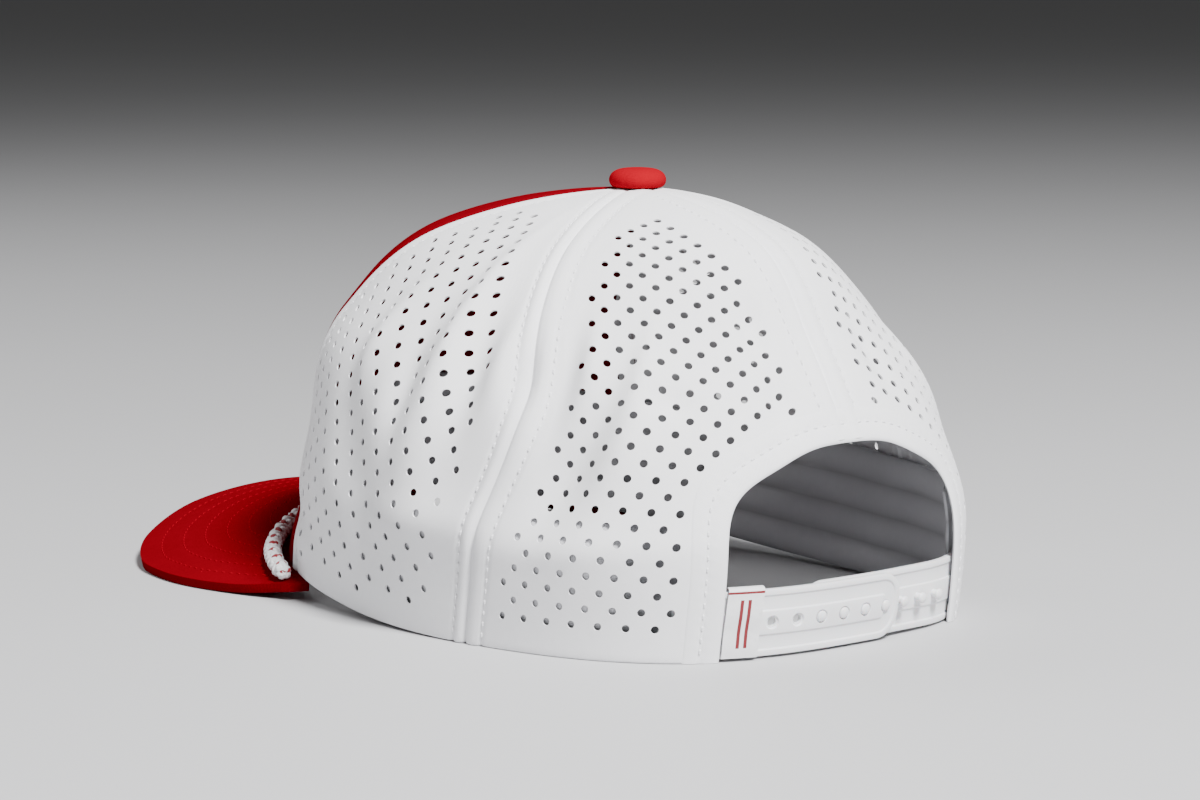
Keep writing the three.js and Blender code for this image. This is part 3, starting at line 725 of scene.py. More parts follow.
def lattice(gore, kind, way, cap):
    """Centres of the holes on a panel: rows set half a step apart, warped as the cloth lies."""
    cloth = cap.cloth
    column, row = np.meshgrid(np.arange(-14, 15), np.arange(-4, 36))
    u = (column + 0.5 * (row % 2)) * cloth.hole_spacing / MM
    v = row * cloth.row_spacing / MM
    terms = np.stack([1 + 0 * u, u, v, u * v / 1000, v * v / 1000], -1)
    x, y = (terms @ np.array(share) for share in LATTICE[kind])
    x, y = gore.from_flat(way * x.ravel(), y.ravel())
    slope = (gore.width(y + 1) - gore.width(y - 1)) / 4
    room = (gore.width(y) / 2 - np.abs(x)) / np.hypot(1, slope)
    margin = np.where((kind == "side") & (way * x > 0), cloth.front_margin, cloth.seam_margin) / MM
    keep = (y > cloth.hem_margin / MM) & (y < gore.height - cloth.top_margin / MM) & (room > margin)
    x, y = x[keep], y[keep]
    if kind == "back":
        edge = smooth_point(*band_place(np.linspace(0, 1, 200), 0))
        spot = smooth_point(gore.azimuth(x, y), gore.climb(y))
        away = np.linalg.norm(spot[:, None] - edge[None], axis=2).min(axis=1)
        keep = (away > cloth.arch_margin / MM) & (arch_margin(spot[:, 0], spot[:, 2]) >= 0)
        x, y = x[keep], y[keep]
    return x, y


def pierce(piece, x, y, cap):
    """Cuts round holes through a flat panel."""
    places = [Matrix.Translation((*place, -cap.cloth.thickness / MM / 2)) for place in zip(x, y)]
    radius = cap.cloth.hole_diameter / MM / 2
    punch = new_primitive("punch", bpy.ops.mesh.primitive_cylinder_add, vertices=14, radius=radius, depth=4)
    cut_away(piece, copies("punches", punch, places))


def front_proud(near, climb):
    """The stiff front panel stands out of the others, except beside its seams."""
    return CROWN["front_proud"] * np.clip((1 - climb) / 0.12, 0, 1) * smoothstep(near, 0, 45)


def bend_panel(piece, gore, stitches, pitch, proud=None):
    """Bends a flat panel onto the crown, with its seams, its stitched lines and its folded hem."""
    x, y, z = points_of(piece).T
    turn = np.clip(-y / HEM_FOLD, 0, math.pi)
    beyond = np.maximum(-y - math.pi * HEM_FOLD, 0)
    upright = np.maximum(y, 0)
    azimuth, climb = gore.azimuth(x, upright), gore.climb(upright)
    left, right = gore.width(upright) / 2 + x, gore.width(upright) / 2 - x
    relief = seam_relief(left, stitches[0], upright, pitch) + seam_relief(right, stitches[1], upright, pitch)
    relief *= np.clip((0.99 - climb) / 0.1, 0.25, 1)
    fold = HEM_FOLD + z
    low = HEM_FOLD - fold * np.sin(turn) + beyond
    climb = np.where(y < 0, climb_at(azimuth, low), climb)
    out = np.where(y < 0, -HEM_FOLD + fold * np.cos(turn), z) + relief
    if proud is not None:
        out = out + proud(np.minimum(left, right), climb)
    co = crown_point(azimuth, np.maximum(climb, 0), out)
    floor = hem_height(azimuth) + 0.05
    co[:, 2] = np.maximum(co[:, 2], floor)
    set_uv(piece, "Pattern", np.stack([x, y], 1))
    move_points(piece, co * MM)


def arch_outline(turn, margin):
    """The worn opening's edge seen along Y, from right to left, in millimetres, set out by a margin."""
    power = 2 / ARCH["squareness"]
    side = np.degrees(np.minimum(turn, np.pi - turn))
    margin = margin + sum(push * np.exp(-(((side - at) / width) ** 2)) for push, at, width in SWAY)
    x = (ARCH["half_width"] + margin) * np.sign(np.cos(turn)) * np.abs(np.cos(turn)) ** power
    z = (ARCH["height"] + margin) * np.abs(np.sin(turn)) ** power
    return x, z


def band_place(s, margin):
    """Azimuth and climb on the band: s runs from 0 at one foot of the opening to 1 at the other."""
    x, z = arch_outline(np.pi * np.asarray(s, float), margin)
    return crown_place(-x, z)


def arch_cutter():
    """The prism that opens the back panels, a little wider than the finished opening."""
    x, z = arch_outline(np.pi * np.arange(61) / 60, 0.9)
    x, z = np.append(x, [x[-1], x[0]]), np.append(z, [-20, -20])
    cutter = new_primitive("arch_cutter", bpy.ops.mesh.primitive_circle_add, vertices=len(x), fill_type="NGON")
    move_points(cutter, np.stack([x, np.full(len(x), 60.0), z], 1) * MM)
    in_edit_mode(cutter)
    bpy.ops.mesh.extrude_region_move(TRANSFORM_OT_translate={"value": (0, 200 * MM, 0)})
    out_of_edit_mode()
    tidy_mesh(cutter)
    return cutter


# Name, seams and stitched margins of each perforated panel
PANELS = [
    ("side_panel_left", side_back, front_side, (4.3, 5.0)),
    ("side_panel_right", lambda t: -front_side(t), lambda t: -side_back(t), (5.0, 4.3)),
    ("back_panel_left", np.zeros_like, side_back, (6.0, 6.7)),
    ("back_panel_right", lambda t: -side_back(t), np.zeros_like, (6.7, 6.0)),
]
FRONT_STITCH = 5  # distance of the front panel's stitches from its seams


def front_gore():
    return Gore(front_side, lambda t: 360 - front_side(t))


def stitch_model(length, radius):
    """One stitch: a short thread whose ends dive into the cloth."""
    stitch = new_primitive("stitch", bpy.ops.mesh.primitive_cylinder_add, vertices=6, radius=radius, depth=length)
    in_edit_mode(stitch, lambda e: abs(e.verts[0].co.z - e.verts[1].co.z) > length / 2, "EDGE")
    bpy.ops.mesh.subdivide(number_cuts=2)
    out_of_edit_mode()
    x, y, z = points_of(stitch).T
    at_end = np.abs(z) / (length / 2) > 0.9
    thin = np.where(at_end, 0.55, 1)
    sink = np.where(at_end, -radius * 1.3, radius * 0.35)
    move_points(stitch, np.stack([z, y * thin, -x * thin + sink], 1))
    tidy_mesh(stitch)
    return stitch


def stitch_places(azimuth, climb, out, pitch):
    """Places of stitches along a line on the crown, every pitch of its length."""
    line = crown_point(azimuth, climb, out)
    azimuth, climb = flat_array(azimuth, climb)
    length = lengths_along(line)
    at = np.arange(pitch / 2, length[-1] - pitch / 2, pitch)
    here, ahead = at_lengths(line, at), at_lengths(line, at + 0.4)
    normals = crown_normal(np.interp(at, length, azimuth), np.interp(at, length, climb))
    return [facing(p * MM, q - p, normal) for p, q, normal in zip(here, ahead, normals)]


def sew(name, cap, thread, slot, places, length=0.74, radius=0.5):
    """Sets a stitch at every place; length and radius are shares of its pitch and thread."""
    model = stitch_model(cap.stitching.pitch / MM * length * MM, cap.stitching.thread * radius)
    finish_piece(copies(name, model, places), thread_material(cap, thread), slot)


def beside_seam(gore, side, stitch, y):
    """Azimuth, climb and inset of the stitches beside a panel's seam, closer together at its top."""
    inset = np.minimum(stitch, gore.width(y) * 0.3)
    return gore.azimuth(side * (gore.width(y) / 2 - inset), y), gore.climb(y), inset


class CAP_OT_crown(bpy.types.Operator):
    """Sews the four perforated panels and cuts the rear opening"""

    bl_idname = "cap.crown"
    bl_label = "Perforated panels"

    def execute(self, context):
        cap = context.scene.cap
        for name, start, end, stitches in PANELS:
            gore = Gore(start, end)
            piece = flat_panel(name + "_cloth", gore, cap)
            kind = name.split("_")[0]
            pierce(piece, *lattice(gore, kind, 1 if name.endswith("left") else -1, cap), cap)
            bend_panel(piece, gore, stitches, cap.stitching.pitch / MM)
            if kind == "back":
                cut_away(piece, arch_cutter())
            smooth(piece, PANEL_SMOOTH)
            finish_piece(piece, cloth(cap, "white_cloth"), "white_cloth", name)
        return {"FINISHED"}


class CAP_OT_front(bpy.types.Operator):
    """Sews the smooth front panel over its stiffener"""

    bl_idname = "cap.front"
    bl_label = "Front panel"

    def execute(self, context):
        cap = context.scene.cap
        gore = front_gore()
        piece = flat_panel("front_panel_cloth", gore, cap)
        bend_panel(piece, gore, (FRONT_STITCH, FRONT_STITCH), cap.stitching.pitch / MM, front_proud)
        smooth(piece, PANEL_SMOOTH)
        finish_piece(piece, cloth(cap, "red_cloth"), "red_cloth", "front_panel")
        return {"FINISHED"}


class CAP_OT_seams(bpy.types.Operator):
    """Adds the stitches beside the seams and the tapes that cover the seams inside"""

    bl_idname = "cap.seams"
    bl_label = "Stitches and seam tapes"

    # Half width, lowest and highest climb of a seam's tape, and where the tape over the opening starts
    TAPE = {"half": 6, "low": 0.3, "over_opening": 0.62, "high": 0.975}

    def execute(self, context):
        cap = context.scene.cap
        pitch = cap.stitching.pitch / MM
        white, red = [], []
        for name, start, end, stitches in PANELS:
            gore = Gore(start, end)
            y = np.linspace(1.0, gore.height * 0.985, 300)
            for side, stitch in zip((-1, 1), stitches):
                azimuth, climb, _ = beside_seam(gore, side, stitch, y)
                if name.startswith("back"):
                    at = smooth_point(azimuth, climb)
                    keep = arch_margin(at[:, 0], at[:, 2]) > 8.5
                    azimuth, climb = azimuth[keep], climb[keep]
                white += stitch_places(azimuth, climb, -STITCH_SINK, pitch)
        gore = front_gore()
        y = np.linspace(4.0, gore.height * 0.985, 300)
        for side in (-1, 1):
            azimuth, climb, inset = beside_seam(gore, side, FRONT_STITCH, y)
            red += stitch_places(azimuth, climb, front_proud(inset, climb) - STITCH_SINK, pitch)
        sew("crown_stitches", cap, "white_thread", "white_cloth", white)
        sew("front_stitches", cap, "red_thread", "red_cloth", red)
        self.tapes(cap)
        return {"FINISHED"}

    def tapes(self, cap):
        half, columns, rows = self.TAPE["half"], 9, 60
        seams = [side_back, lambda t: -side_back(t), front_side, lambda t: -front_side(t), np.zeros_like]
        lows = [self.TAPE["low"]] * 4 + [self.TAPE["over_opening"]]
        made = []
        for seam, low in zip(seams, lows):
            across, climb = np.meshgrid(np.linspace(-half, half, columns), np.linspace(low, self.TAPE["high"], rows))
            across, climb = across.ravel(), climb.ravel()
            reach = np.degrees(across / np.maximum(crown_radius(seam(climb), climb), 14))
            bulge = 0.35 * (1 - (across / half) ** 2)
            co = crown_point(seam(climb) + reach, climb, -cap.cloth.thickness / MM - 0.35 - bulge)
            made.append(sheet("tape", columns, rows, co, np.stack([across, climb * 150], 1)))
            apply_modifier(made[-1], "SOLIDIFY", thickness=0.3 * MM, offset=-1)
        tape = joined("seam_tapes", made)
        tidy_mesh(tape)
        smooth(tape)
        finish_piece(tape, cloth(cap, "white_cloth"), "white_cloth")


# Band round the rear opening

# Across the band from its outer border to its end inside: margin from the opening, and height
# out of the crown, in millimetres
ARCH_BAND = [
    (8.3, -0.1), (8.1, 0.06), (7.6, 0.14), (6.6, 0.2), (5.6, 0.16), (5.1, 0.02), (4.7, -0.1), (4.3, 0.04),
    (3.8, 0.2), (2.6, 0.3), (1.5, 0.3), (0.75, 0.18), (0.25, -0.08), (0.05, -0.4), (0.3, -0.85), (0.9, -1.1),
    (2.5, -1.15), (5, -1.1), (8.5, -1.1), (8.7, -0.9), (5, -0.75), (1.3, -0.3), (1.6, 0.0), (5, 0.02),
]


class CAP_OT_opening(bpy.types.Operator):
    """Binds the rear opening with a folded, stitched band"""

    bl_idname = "cap.opening"
    bl_label = "Rear opening"

    BAND_STITCH = 4.7  # margin of the band's stitches

    def execute(self, context):
        cap = context.scene.cap
        pitch = cap.stitching.pitch / MM
        margin, out = np.array(ARCH_BAND).T
        steps, step = self.even_steps(0, 150)
        count = len(margin) + 1
        k = np.arange(count) % len(margin)
        m, s = (v.ravel() for v in np.meshgrid(margin[k], steps))
        o = np.tile(out[k], len(steps))
        azimuth, climb = band_place(s, m)
        across = np.concatenate([[0], np.cumsum(np.hypot(np.diff(margin[k]), np.diff(out[k])))])
        along = np.repeat(np.arange(len(steps)) * step, count)
        pucker = 0.12 * np.cos(2 * np.pi * along / pitch) * np.exp(-(((m - self.BAND_STITCH) / 2.2) ** 2)) * (o > 0)
        co = crown_point(azimuth, np.maximum(climb, 0.001), o + pucker)
        co[:, 2] = np.maximum(co[:, 2], 0.1)
        piece = sheet("arch_band", count, len(steps), co, np.stack([np.tile(across, len(steps)), along], 1))
        close_up(piece)
        smooth(piece, 55)
        finish_piece(piece, cloth(cap, "white_cloth"), "white_cloth")
        azimuth, climb = band_place(self.even_steps(self.BAND_STITCH, 400)[0], self.BAND_STITCH)
        sew("arch_stitches", cap, "white_thread", "white_cloth", stitch_places(azimuth, climb, -0.02, pitch))
        return {"FINISHED"}

    def even_steps(self, margin, count):
        """Shares along the band whose points lie evenly along the opening, and their distance."""
        s = np.linspace(0.0, 1.0, 2400)
        azimuth, climb = band_place(s, margin)
        length = lengths_along(smooth_point(azimuth, np.maximum(climb, 0)))
        return np.interp(np.linspace(0, length[-1], count + 1), length, s), length[-1] / count


# Button


class CAP_OT_button(bpy.types.Operator):
    """Covers the button on top of the crown"""

    bl_idname = "cap.button"
    bl_label = "Covered button"

    # Radius and height of the cloth from the rim underneath to the middle of the top
    PROFILE = [
        (3.5, -0.25), (6.2, -0.3), (7.1, 0.05), (7.7, 0.7), (8.0, 1.6), (7.95, 2.5), (7.5, 3.5), (6.6, 4.35),
        (5.2, 4.95), (3.5, 5.2), (1.8, 5.3), (0, 5.32),
    ]
    SIDES, HEIGHT = 72, 5.2
    GATHERS, GATHER_DEPTH, GATHER_TOP = 24, 0.07, 3.2

    def execute(self, context):
        cap = context.scene.cap
        low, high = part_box("top_button")
        centre = ((low.x + high.x) / 2, (low.y + high.y) / 2)
        r, a, z = turned(*np.array(self.PROFILE).T, self.SIDES)
        gather = self.GATHER_DEPTH * np.cos(self.GATHERS * a) * np.clip((self.GATHER_TOP - z) / self.GATHER_TOP, 0, 1)
        r = np.maximum(r + gather * (r > 4), 0)
        x, y = r * np.cos(a), r * np.sin(a)
        co = np.stack([centre[0] / MM + x, centre[1] / MM + y, high.z / MM - self.HEIGHT + z], 1)
        piece = sheet("button_cloth", self.SIDES + 1, len(self.PROFILE), co, np.stack([x, y + z * 0.6], 1))
        tidy_mesh(piece)
        apply_modifier(piece, "SUBSURF", levels=1, render_levels=1)
        smooth(piece, 80)
        finish_piece(piece, cloth(cap, "button_cloth"), "button_cloth", "top_button")
        return {"FINISHED"}


# Brim


def brim_azimuth(share):
    return BRIM["corner"] + (360 - 2 * BRIM["corner"]) * np.asarray(share, float)


def hem_point(azimuth, out):
    co = crown_point(azimuth, 0, out, fine=False)
    co[:, 2] = hem_height(np.asarray(azimuth, float).ravel())
    return co


def brim_root(share, out=None):
    co = hem_point(brim_azimuth(share), CROWN["front_proud"] if out is None else out)
    co[:, 2] -= GAP
    return co


def between(x, low, high, a, b):
    """The point between a and b for an x between low and high."""
    return (high - x) / (high - low) * a + (x - low) / (high - low) * b


def centripetal(points, count):
    """Points of a smooth curve that passes through all the given ones."""
    points = [np.array(p, float) for p in points]
    points = [2 * points[0] - points[1], *points, 2 * points[-1] - points[-2]]
    line = []
    for i in range(1, len(points) - 2):
        p = points[i - 1 : i + 3]
        t = [0.0]
        for a, b in zip(p, p[1:]):
            t.append(t[-1] + np.linalg.norm(b - a) ** 0.5)
        for x in np.linspace(t[1], t[2], count, endpoint=False):
            a = [between(x, t[k], t[k + 1], p[k], p[k + 1]) for k in range(3)]
            b = [between(x, t[k], t[k + 2], a[k], a[k + 1]) for k in range(2)]
            line.append(between(x, t[1], t[2], *b))
    return np.array([*line, points[-2]])


def brim_edge(share):
    """Outer edge of the brim by shares of its length, from its left corner to its right."""
    front = -(smooth_point(180.0, 0.0)[0, 1] - AXIS_Y)
    ends = []
    for azimuth in brim_azimuth([0, 1]):
        point = smooth_point(azimuth, 0.0)[0]
        away = np.array([point[0], point[1] - AXIS_Y, 0])
        point = point + away / np.linalg.norm(away) * (CROWN["front_proud"] + BRIM["horn"])
        ends.append(point - [0, 0, GAP])
    front_y = AXIS_Y - front
    wide, reach, low = BRIM["half_width"], BRIM["reach"], BRIM["edge_height"]
    rise = BRIM["tip_height"] - low
    left = [(wide * s, front_y - reach * a, low + rise * r) for s, a, r in BRIM_EDGE]
    right = [(-x, y, z) for x, y, z in reversed(left)]
    tip = (0, front_y - reach, BRIM["tip_height"])
    line = centripetal([ends[0], *left, tip, *right, ends[1]], 40)
    return at_lengths(line, np.asarray(share, float).ravel() * lengths_along(line)[-1])


def edge_distance(points):
    """Distance of points on the brim from its outer edge, in millimetres."""
    edge = brim_edge(np.linspace(0, 1, 500))
    apart = np.linalg.norm(points[:, None, :2] - edge[None, :, :2], axis=2)
    return apart.min(axis=1)


class CAP_OT_brim(bpy.types.Operator):
    """Covers the brim in cloth with rows of stitches that follow its edge"""

    bl_idname = "cap.brim"
    bl_label = "Brim"

    COLUMNS, STEPS = 181, 58  # points along the brim, and steps from its root to its edge
    DIMPLE, DIMPLE_WIDTH = 0.1, 0.8  # of a row of stitches

    def execute(self, context):
        cap = context.scene.cap
        share = np.linspace(0, 1, self.COLUMNS)
        under = brim_root(share, CROWN["front_proud"] - CROWN["front_wall"])
        root, edge = brim_root(share), brim_edge(share)
        co = np.concatenate([under, *(root + (edge - root) * (j / self.STEPS) for j in range(self.STEPS + 1))])
        away = edge_distance(co)
        spacing = cap.brim.row_spacing / MM
        row = np.abs((away + spacing / 2) % spacing - spacing / 2)
        sunk = (away > spacing * 0.6) & (away < spacing * (cap.brim.rows + 0.4))
        co[:, 2] -= self.DIMPLE * sunk * np.exp(-((row / self.DIMPLE_WIDTH) ** 2))
        piece = sheet("brim_cloth", self.COLUMNS, self.STEPS + 2, co, co[:, :2])
        self.thicken(piece)
        smooth(piece, 50)
        finish_piece(piece, cloth(cap, "brim_cloth"), "brim_cloth", "brim")
        self.stitches(piece, cap)
        return {"FINISHED"}

    def thicken(self, piece):
        """Gives the top face its thickness underneath and rounds the rim."""
        faces_down = piece.data.polygons[len(piece.data.polygons) // 2].normal.z < 0
        apply_modifier(piece, "SOLIDIFY", thickness=BRIM["thickness"] * MM, offset=1 if faces_down else -1)
        tidy_mesh(piece)
        rim = {"limit_method": "ANGLE", "angle_limit": math.radians(50)}
        apply_modifier(piece, "BEVEL", width=1.1 * MM, segments=3, **rim)

    def stitches(self, piece, cap):
        """Rows of stitches above and underneath, found by rays from either side."""
        tree = BVHTree.FromObject(piece, bpy.context.evaluated_depsgraph_get())
        spacing, pitch = cap.brim.row_spacing / MM, cap.stitching.pitch / MM
        edge = brim_edge(np.linspace(0, 1, 900))
        tangent = unit(np.gradient(edge[:, :2], axis=0))
        inward = np.stack([-tangent[:, 1], tangent[:, 0]], 1)
        tip = len(edge) // 2
        if (inward[tip] @ (np.array([0, AXIS_Y]) - edge[tip, :2])) < 0:
            inward = -inward
        places = []
        for r in range(1, cap.brim.rows + 1):
            line = edge[:, :2] + inward * spacing * r
            line = line[edge_distance(np.column_stack([line, line[:, 0]])) > spacing * r - 0.15]
            at = np.arange(0, lengths_along(line)[-1], pitch)
            here, ahead = at_lengths(line, at), at_lengths(line, at + 0.5)
            for p, q in zip(here[:-1], ahead[:-1]):
                for height, down in ((200, -1), (-200, 1)):
                    hit, normal, _, _ = tree.ray_cast(Vector((*p, height)) * MM, Vector((0, 0, down)))
                    if hit is not None:
                        places.append(facing(np.array(hit), np.array([*(q - p), 0]), np.array(normal)))
        sew("brim_stitches", cap, "red_thread", "brim_cloth", places, 0.7, 0.32)


# Rope


ROPE_RADIUS = 1.9  # of the solid, which sets how far the rope's middle lies from the crown and the brim
ROPE_INSET = 2  # degrees of azimuth from the brim's corner to the rope's end


def rope_point(share, off=0.0, lift=0.0):
    """Middle of the rope beside the front panel and on the brim, moved off the panel and lifted."""
    share = np.asarray(share, float)
    azimuth = brim_azimuth(share)
    root = brim_root(share)
    face = crown_normal(azimuth, 0)
    outward = unit(brim_edge(share) - root)
    a = np.radians(azimuth)
    along = np.stack([np.cos(a), -np.sin(a), 0 * a], 1)
    up = unit(np.cross(along, outward))
    reach = ROPE_RADIUS + GAP
    from_face = reach + face[:, 2] * GAP
    lean = (face * up).sum(1)
    square = 1 - lean * lean
    from_panel = face * ((from_face - lean * reach) / square)[:, None]
    return root + (from_panel + up * ((reach - lean * from_face) / square)[:, None]) + outward * off + up * lift


class CAP_OT_rope(bpy.types.Operator):
    """Braids the rope that lies along the root of the brim"""

    bl_idname = "cap.rope"
    bl_label = "Braided rope"

    SIDES, STEP = 6, 0.5  # points round a yarn, and millimetres from ring to ring along it
    YARN, WIDE, CORE = 0.34, 1.05, 0.62  # shares of the radius, of the yarn's thickness and of the radius
    WEAVE = 0.34  # how far a yarn goes over and under the others
    CORE_STEP = 8  # of the rope's rings that lie between the core's
    FLECK, FLECK_LEVEL = 4.2, 0.4  # distance of the flecks, and the sine above which they show

    def execute(self, context):
        cap = context.scene.cap
        inset = ROPE_INSET / float(brim_azimuth(1) - brim_azimuth(0))
        line = rope_point(np.linspace(inset, 1 - inset, 200), off=1.5, lift=0.3)
        total = lengths_along(line)[-1]
        at = np.linspace(0, total, int(total / self.STEP))
        middle = at_lengths(line, at)
        along = unit(np.gradient(middle, axis=0))
        side = unit(np.cross(along, [0, 0, 1.0]))
        over = np.cross(side, along)
        strands, turn = cap.rope.strands, cap.rope.turn / MM
        radius = cap.rope.diameter / MM / 2
        thick = radius * self.YARN
        end = np.clip(np.minimum(at, total - at) / 1.2, 0, 1) ** 0.5
        made = []
        for way in (1, -1):
            for k in range(strands):
                angle = way * (2 * math.pi * at / turn) + 2 * math.pi * k / strands
                out = radius - thick - 0.02 + self.WEAVE * way * np.cos(strands * 2 * math.pi * at / turn + math.pi * k)
                out = (out * (0.35 + 0.65 * end))[:, None]
                cos, sin = np.cos(angle)[:, None], np.sin(angle)[:, None]
                co = middle + side * (cos * out) + over * (sin * out)
                yarn = at + 1.3 * k + way
                made.append(self.strand(f"strand_{way}_{k}", co, side * cos + over * sin, thick, k % 2 == 0, yarn))
        core = middle[:: self.CORE_STEP]
        upright = 0 * core + [0, 0, 1.0]
        made.append(self.strand("core", core, upright, radius * self.CORE, False, at[:: self.CORE_STEP]))
        rope = joined("rope_braid", made)
        smooth(rope, 80)
        finish_piece(rope, self.material(cap), "rope_braid", "brim_rope")
        return {"FINISHED"}

    def strand(self, name, middle, radial, thick, marked, at):
        """One yarn in rings round its middle; u is near 1 and more only on a marked one."""
        rings, points = len(middle), self.SIDES + 1
        across = unit(np.cross(unit(np.gradient(middle, axis=0)), radial))
        turn = 2 * np.pi * np.arange(points) / self.SIDES
        wide = across[:, None] * (np.cos(turn) * (thick * self.WIDE))[None, :, None]
        tall = radial[:, None] * (np.sin(turn) * thick)[None, :, None]
        co = (middle[:, None] + wide + tall).reshape(-1, 3)
        u = np.tile(np.arange(points) / self.SIDES, rings) * 0.9 + (1.0 if marked else 0.0)
        piece = sheet(name, points, rings, co, np.stack([u, np.repeat(at, points)], 1), "Yarn")
        tidy_mesh(piece)
        fill_holes(piece)
        return piece

    def material(self, cap):
        """White fibres with flecks in the button's red on the marked yarns."""
        shade = Shade("rope_braid")
        u, v = shade.uv("Yarn")
        marked = shade.math("GREATER_THAN", u, 0.95)
        spaced = shade.math("GREATER_THAN", shade.wave(v, self.FLECK), self.FLECK_LEVEL)
        fibre = shade.noise(2400, 3)
        white = shade.mix(fibre, colour(cap.colours.white, 0.8), colour(cap.colours.white))
        shade.set(Base_Color=shade.mix(shade.math("MULTIPLY", marked, spaced), white, colour(cap.colours.button)))
        shade.set(Normal=shade.bump(fibre, 0.5, 0.00012))
        return shade.set(Roughness=0.75, Sheen_Weight=0.3)


# Sweatband


def sweatband_inset(azimuth):
    behind = CROWN["wall"] + GAP + STRAP["relief"] + STRAP["thickness"] + GAP
    free = CROWN["wall"] + SWEATBAND["clearance"]
    share = smoothstep(np.abs(from_rear(azimuth)), STRAP["sewn_to"], SWEATBAND["clear_of_strap"])
    return behind + (free - behind) * share


class CAP_OT_sweatband(bpy.types.Operator):
    """Sews the ribbed sweatband round the inside of the hem"""

    bl_idname = "cap.sweatband"
    bl_label = "Sweatband"

    COLUMNS, ROWS = 260, 40
    RIB = 1.15  # height of a padded rib in millimetres

    def execute(self, context):
        cap = context.scene.cap
        ribs, start = cap.trim.ribs, SWEATBAND["start"]
        up = np.linspace(0, 1, self.ROWS)
        ring = np.concatenate([up, up[::-1], up[:1]])
        inner = np.tile(np.concatenate([np.zeros(self.ROWS), np.ones(self.ROWS), [0]]), self.COLUMNS)
        u, a = (v.ravel() for v in np.meshgrid(ring, np.linspace(start, 360 - start, self.COLUMNS)))
        height = GAP + (SWEATBAND["height"] - GAP) * u
        end = np.minimum(a, 360 - a)
        wave = 0.03 * np.sin(a * 0.16) + 0.015 * np.sin(a * 0.37 + 1)
        rib = self.RIB * np.abs(np.sin(np.pi * (u + wave * np.sin(np.pi * u)) * ribs)) ** 0.6
        sag = 0.5 * np.sin(a * 0.23) * np.sin(np.pi * u) + 0.3 * np.sin(a * 0.51 + 2) * u
        full = smoothstep(end - start, 0, 7)
        close = (sweatband_inset(a) - cap.trim.close / MM) * smoothstep(height, 6, 10)
        close *= smoothstep(end, STRAP["sewn_to"], SWEATBAND["clear_of_strap"])
        depth = sweatband_inset(a) - close + inner * (0.7 + full * (0.3 + rib + 0.4 * (1 + sag)))
        co = crown_point(a, climb_at(a, height), -depth)
        pattern = np.stack([u * SWEATBAND["height"], a * 1.5], 1)
        piece = sheet("sweatband_cloth", len(ring), self.COLUMNS, co, pattern)
        close_up(piece)
        smooth(piece, 60)
        # The ribs' spacing sets where the sweatband's cloth is painted darker, as shade in its grooves.
        material = cloth(cap, "sweatband_cloth", SWEATBAND["height"] / ribs)
        finish_piece(piece, material, "sweatband_cloth", "sweatband")
        return {"FINISHED"}


# Snap strap


def hole_azimuth(k):
    return STRAP["first_hole"] - strap_degrees(STRAP["pitch"] * k)


def tip_azimuth():
    return STRAP["first_hole"] - strap_degrees(STRAP["pitch"] * (STRAP["holes"] - 1) + STRAP["tip"])


def strap_out():
    return CROWN["wall"] + GAP + STRAP["relief"]


def inner_strap_out(azimuth):
    under = strap_out() + STRAP["thickness"] + STRAP["relief"] + GAP
    share = smoothstep(-azimuth, -tip_azimuth() + 1, STRAP["sewn_to"] - 6)
    return under + (strap_out() - under) * share


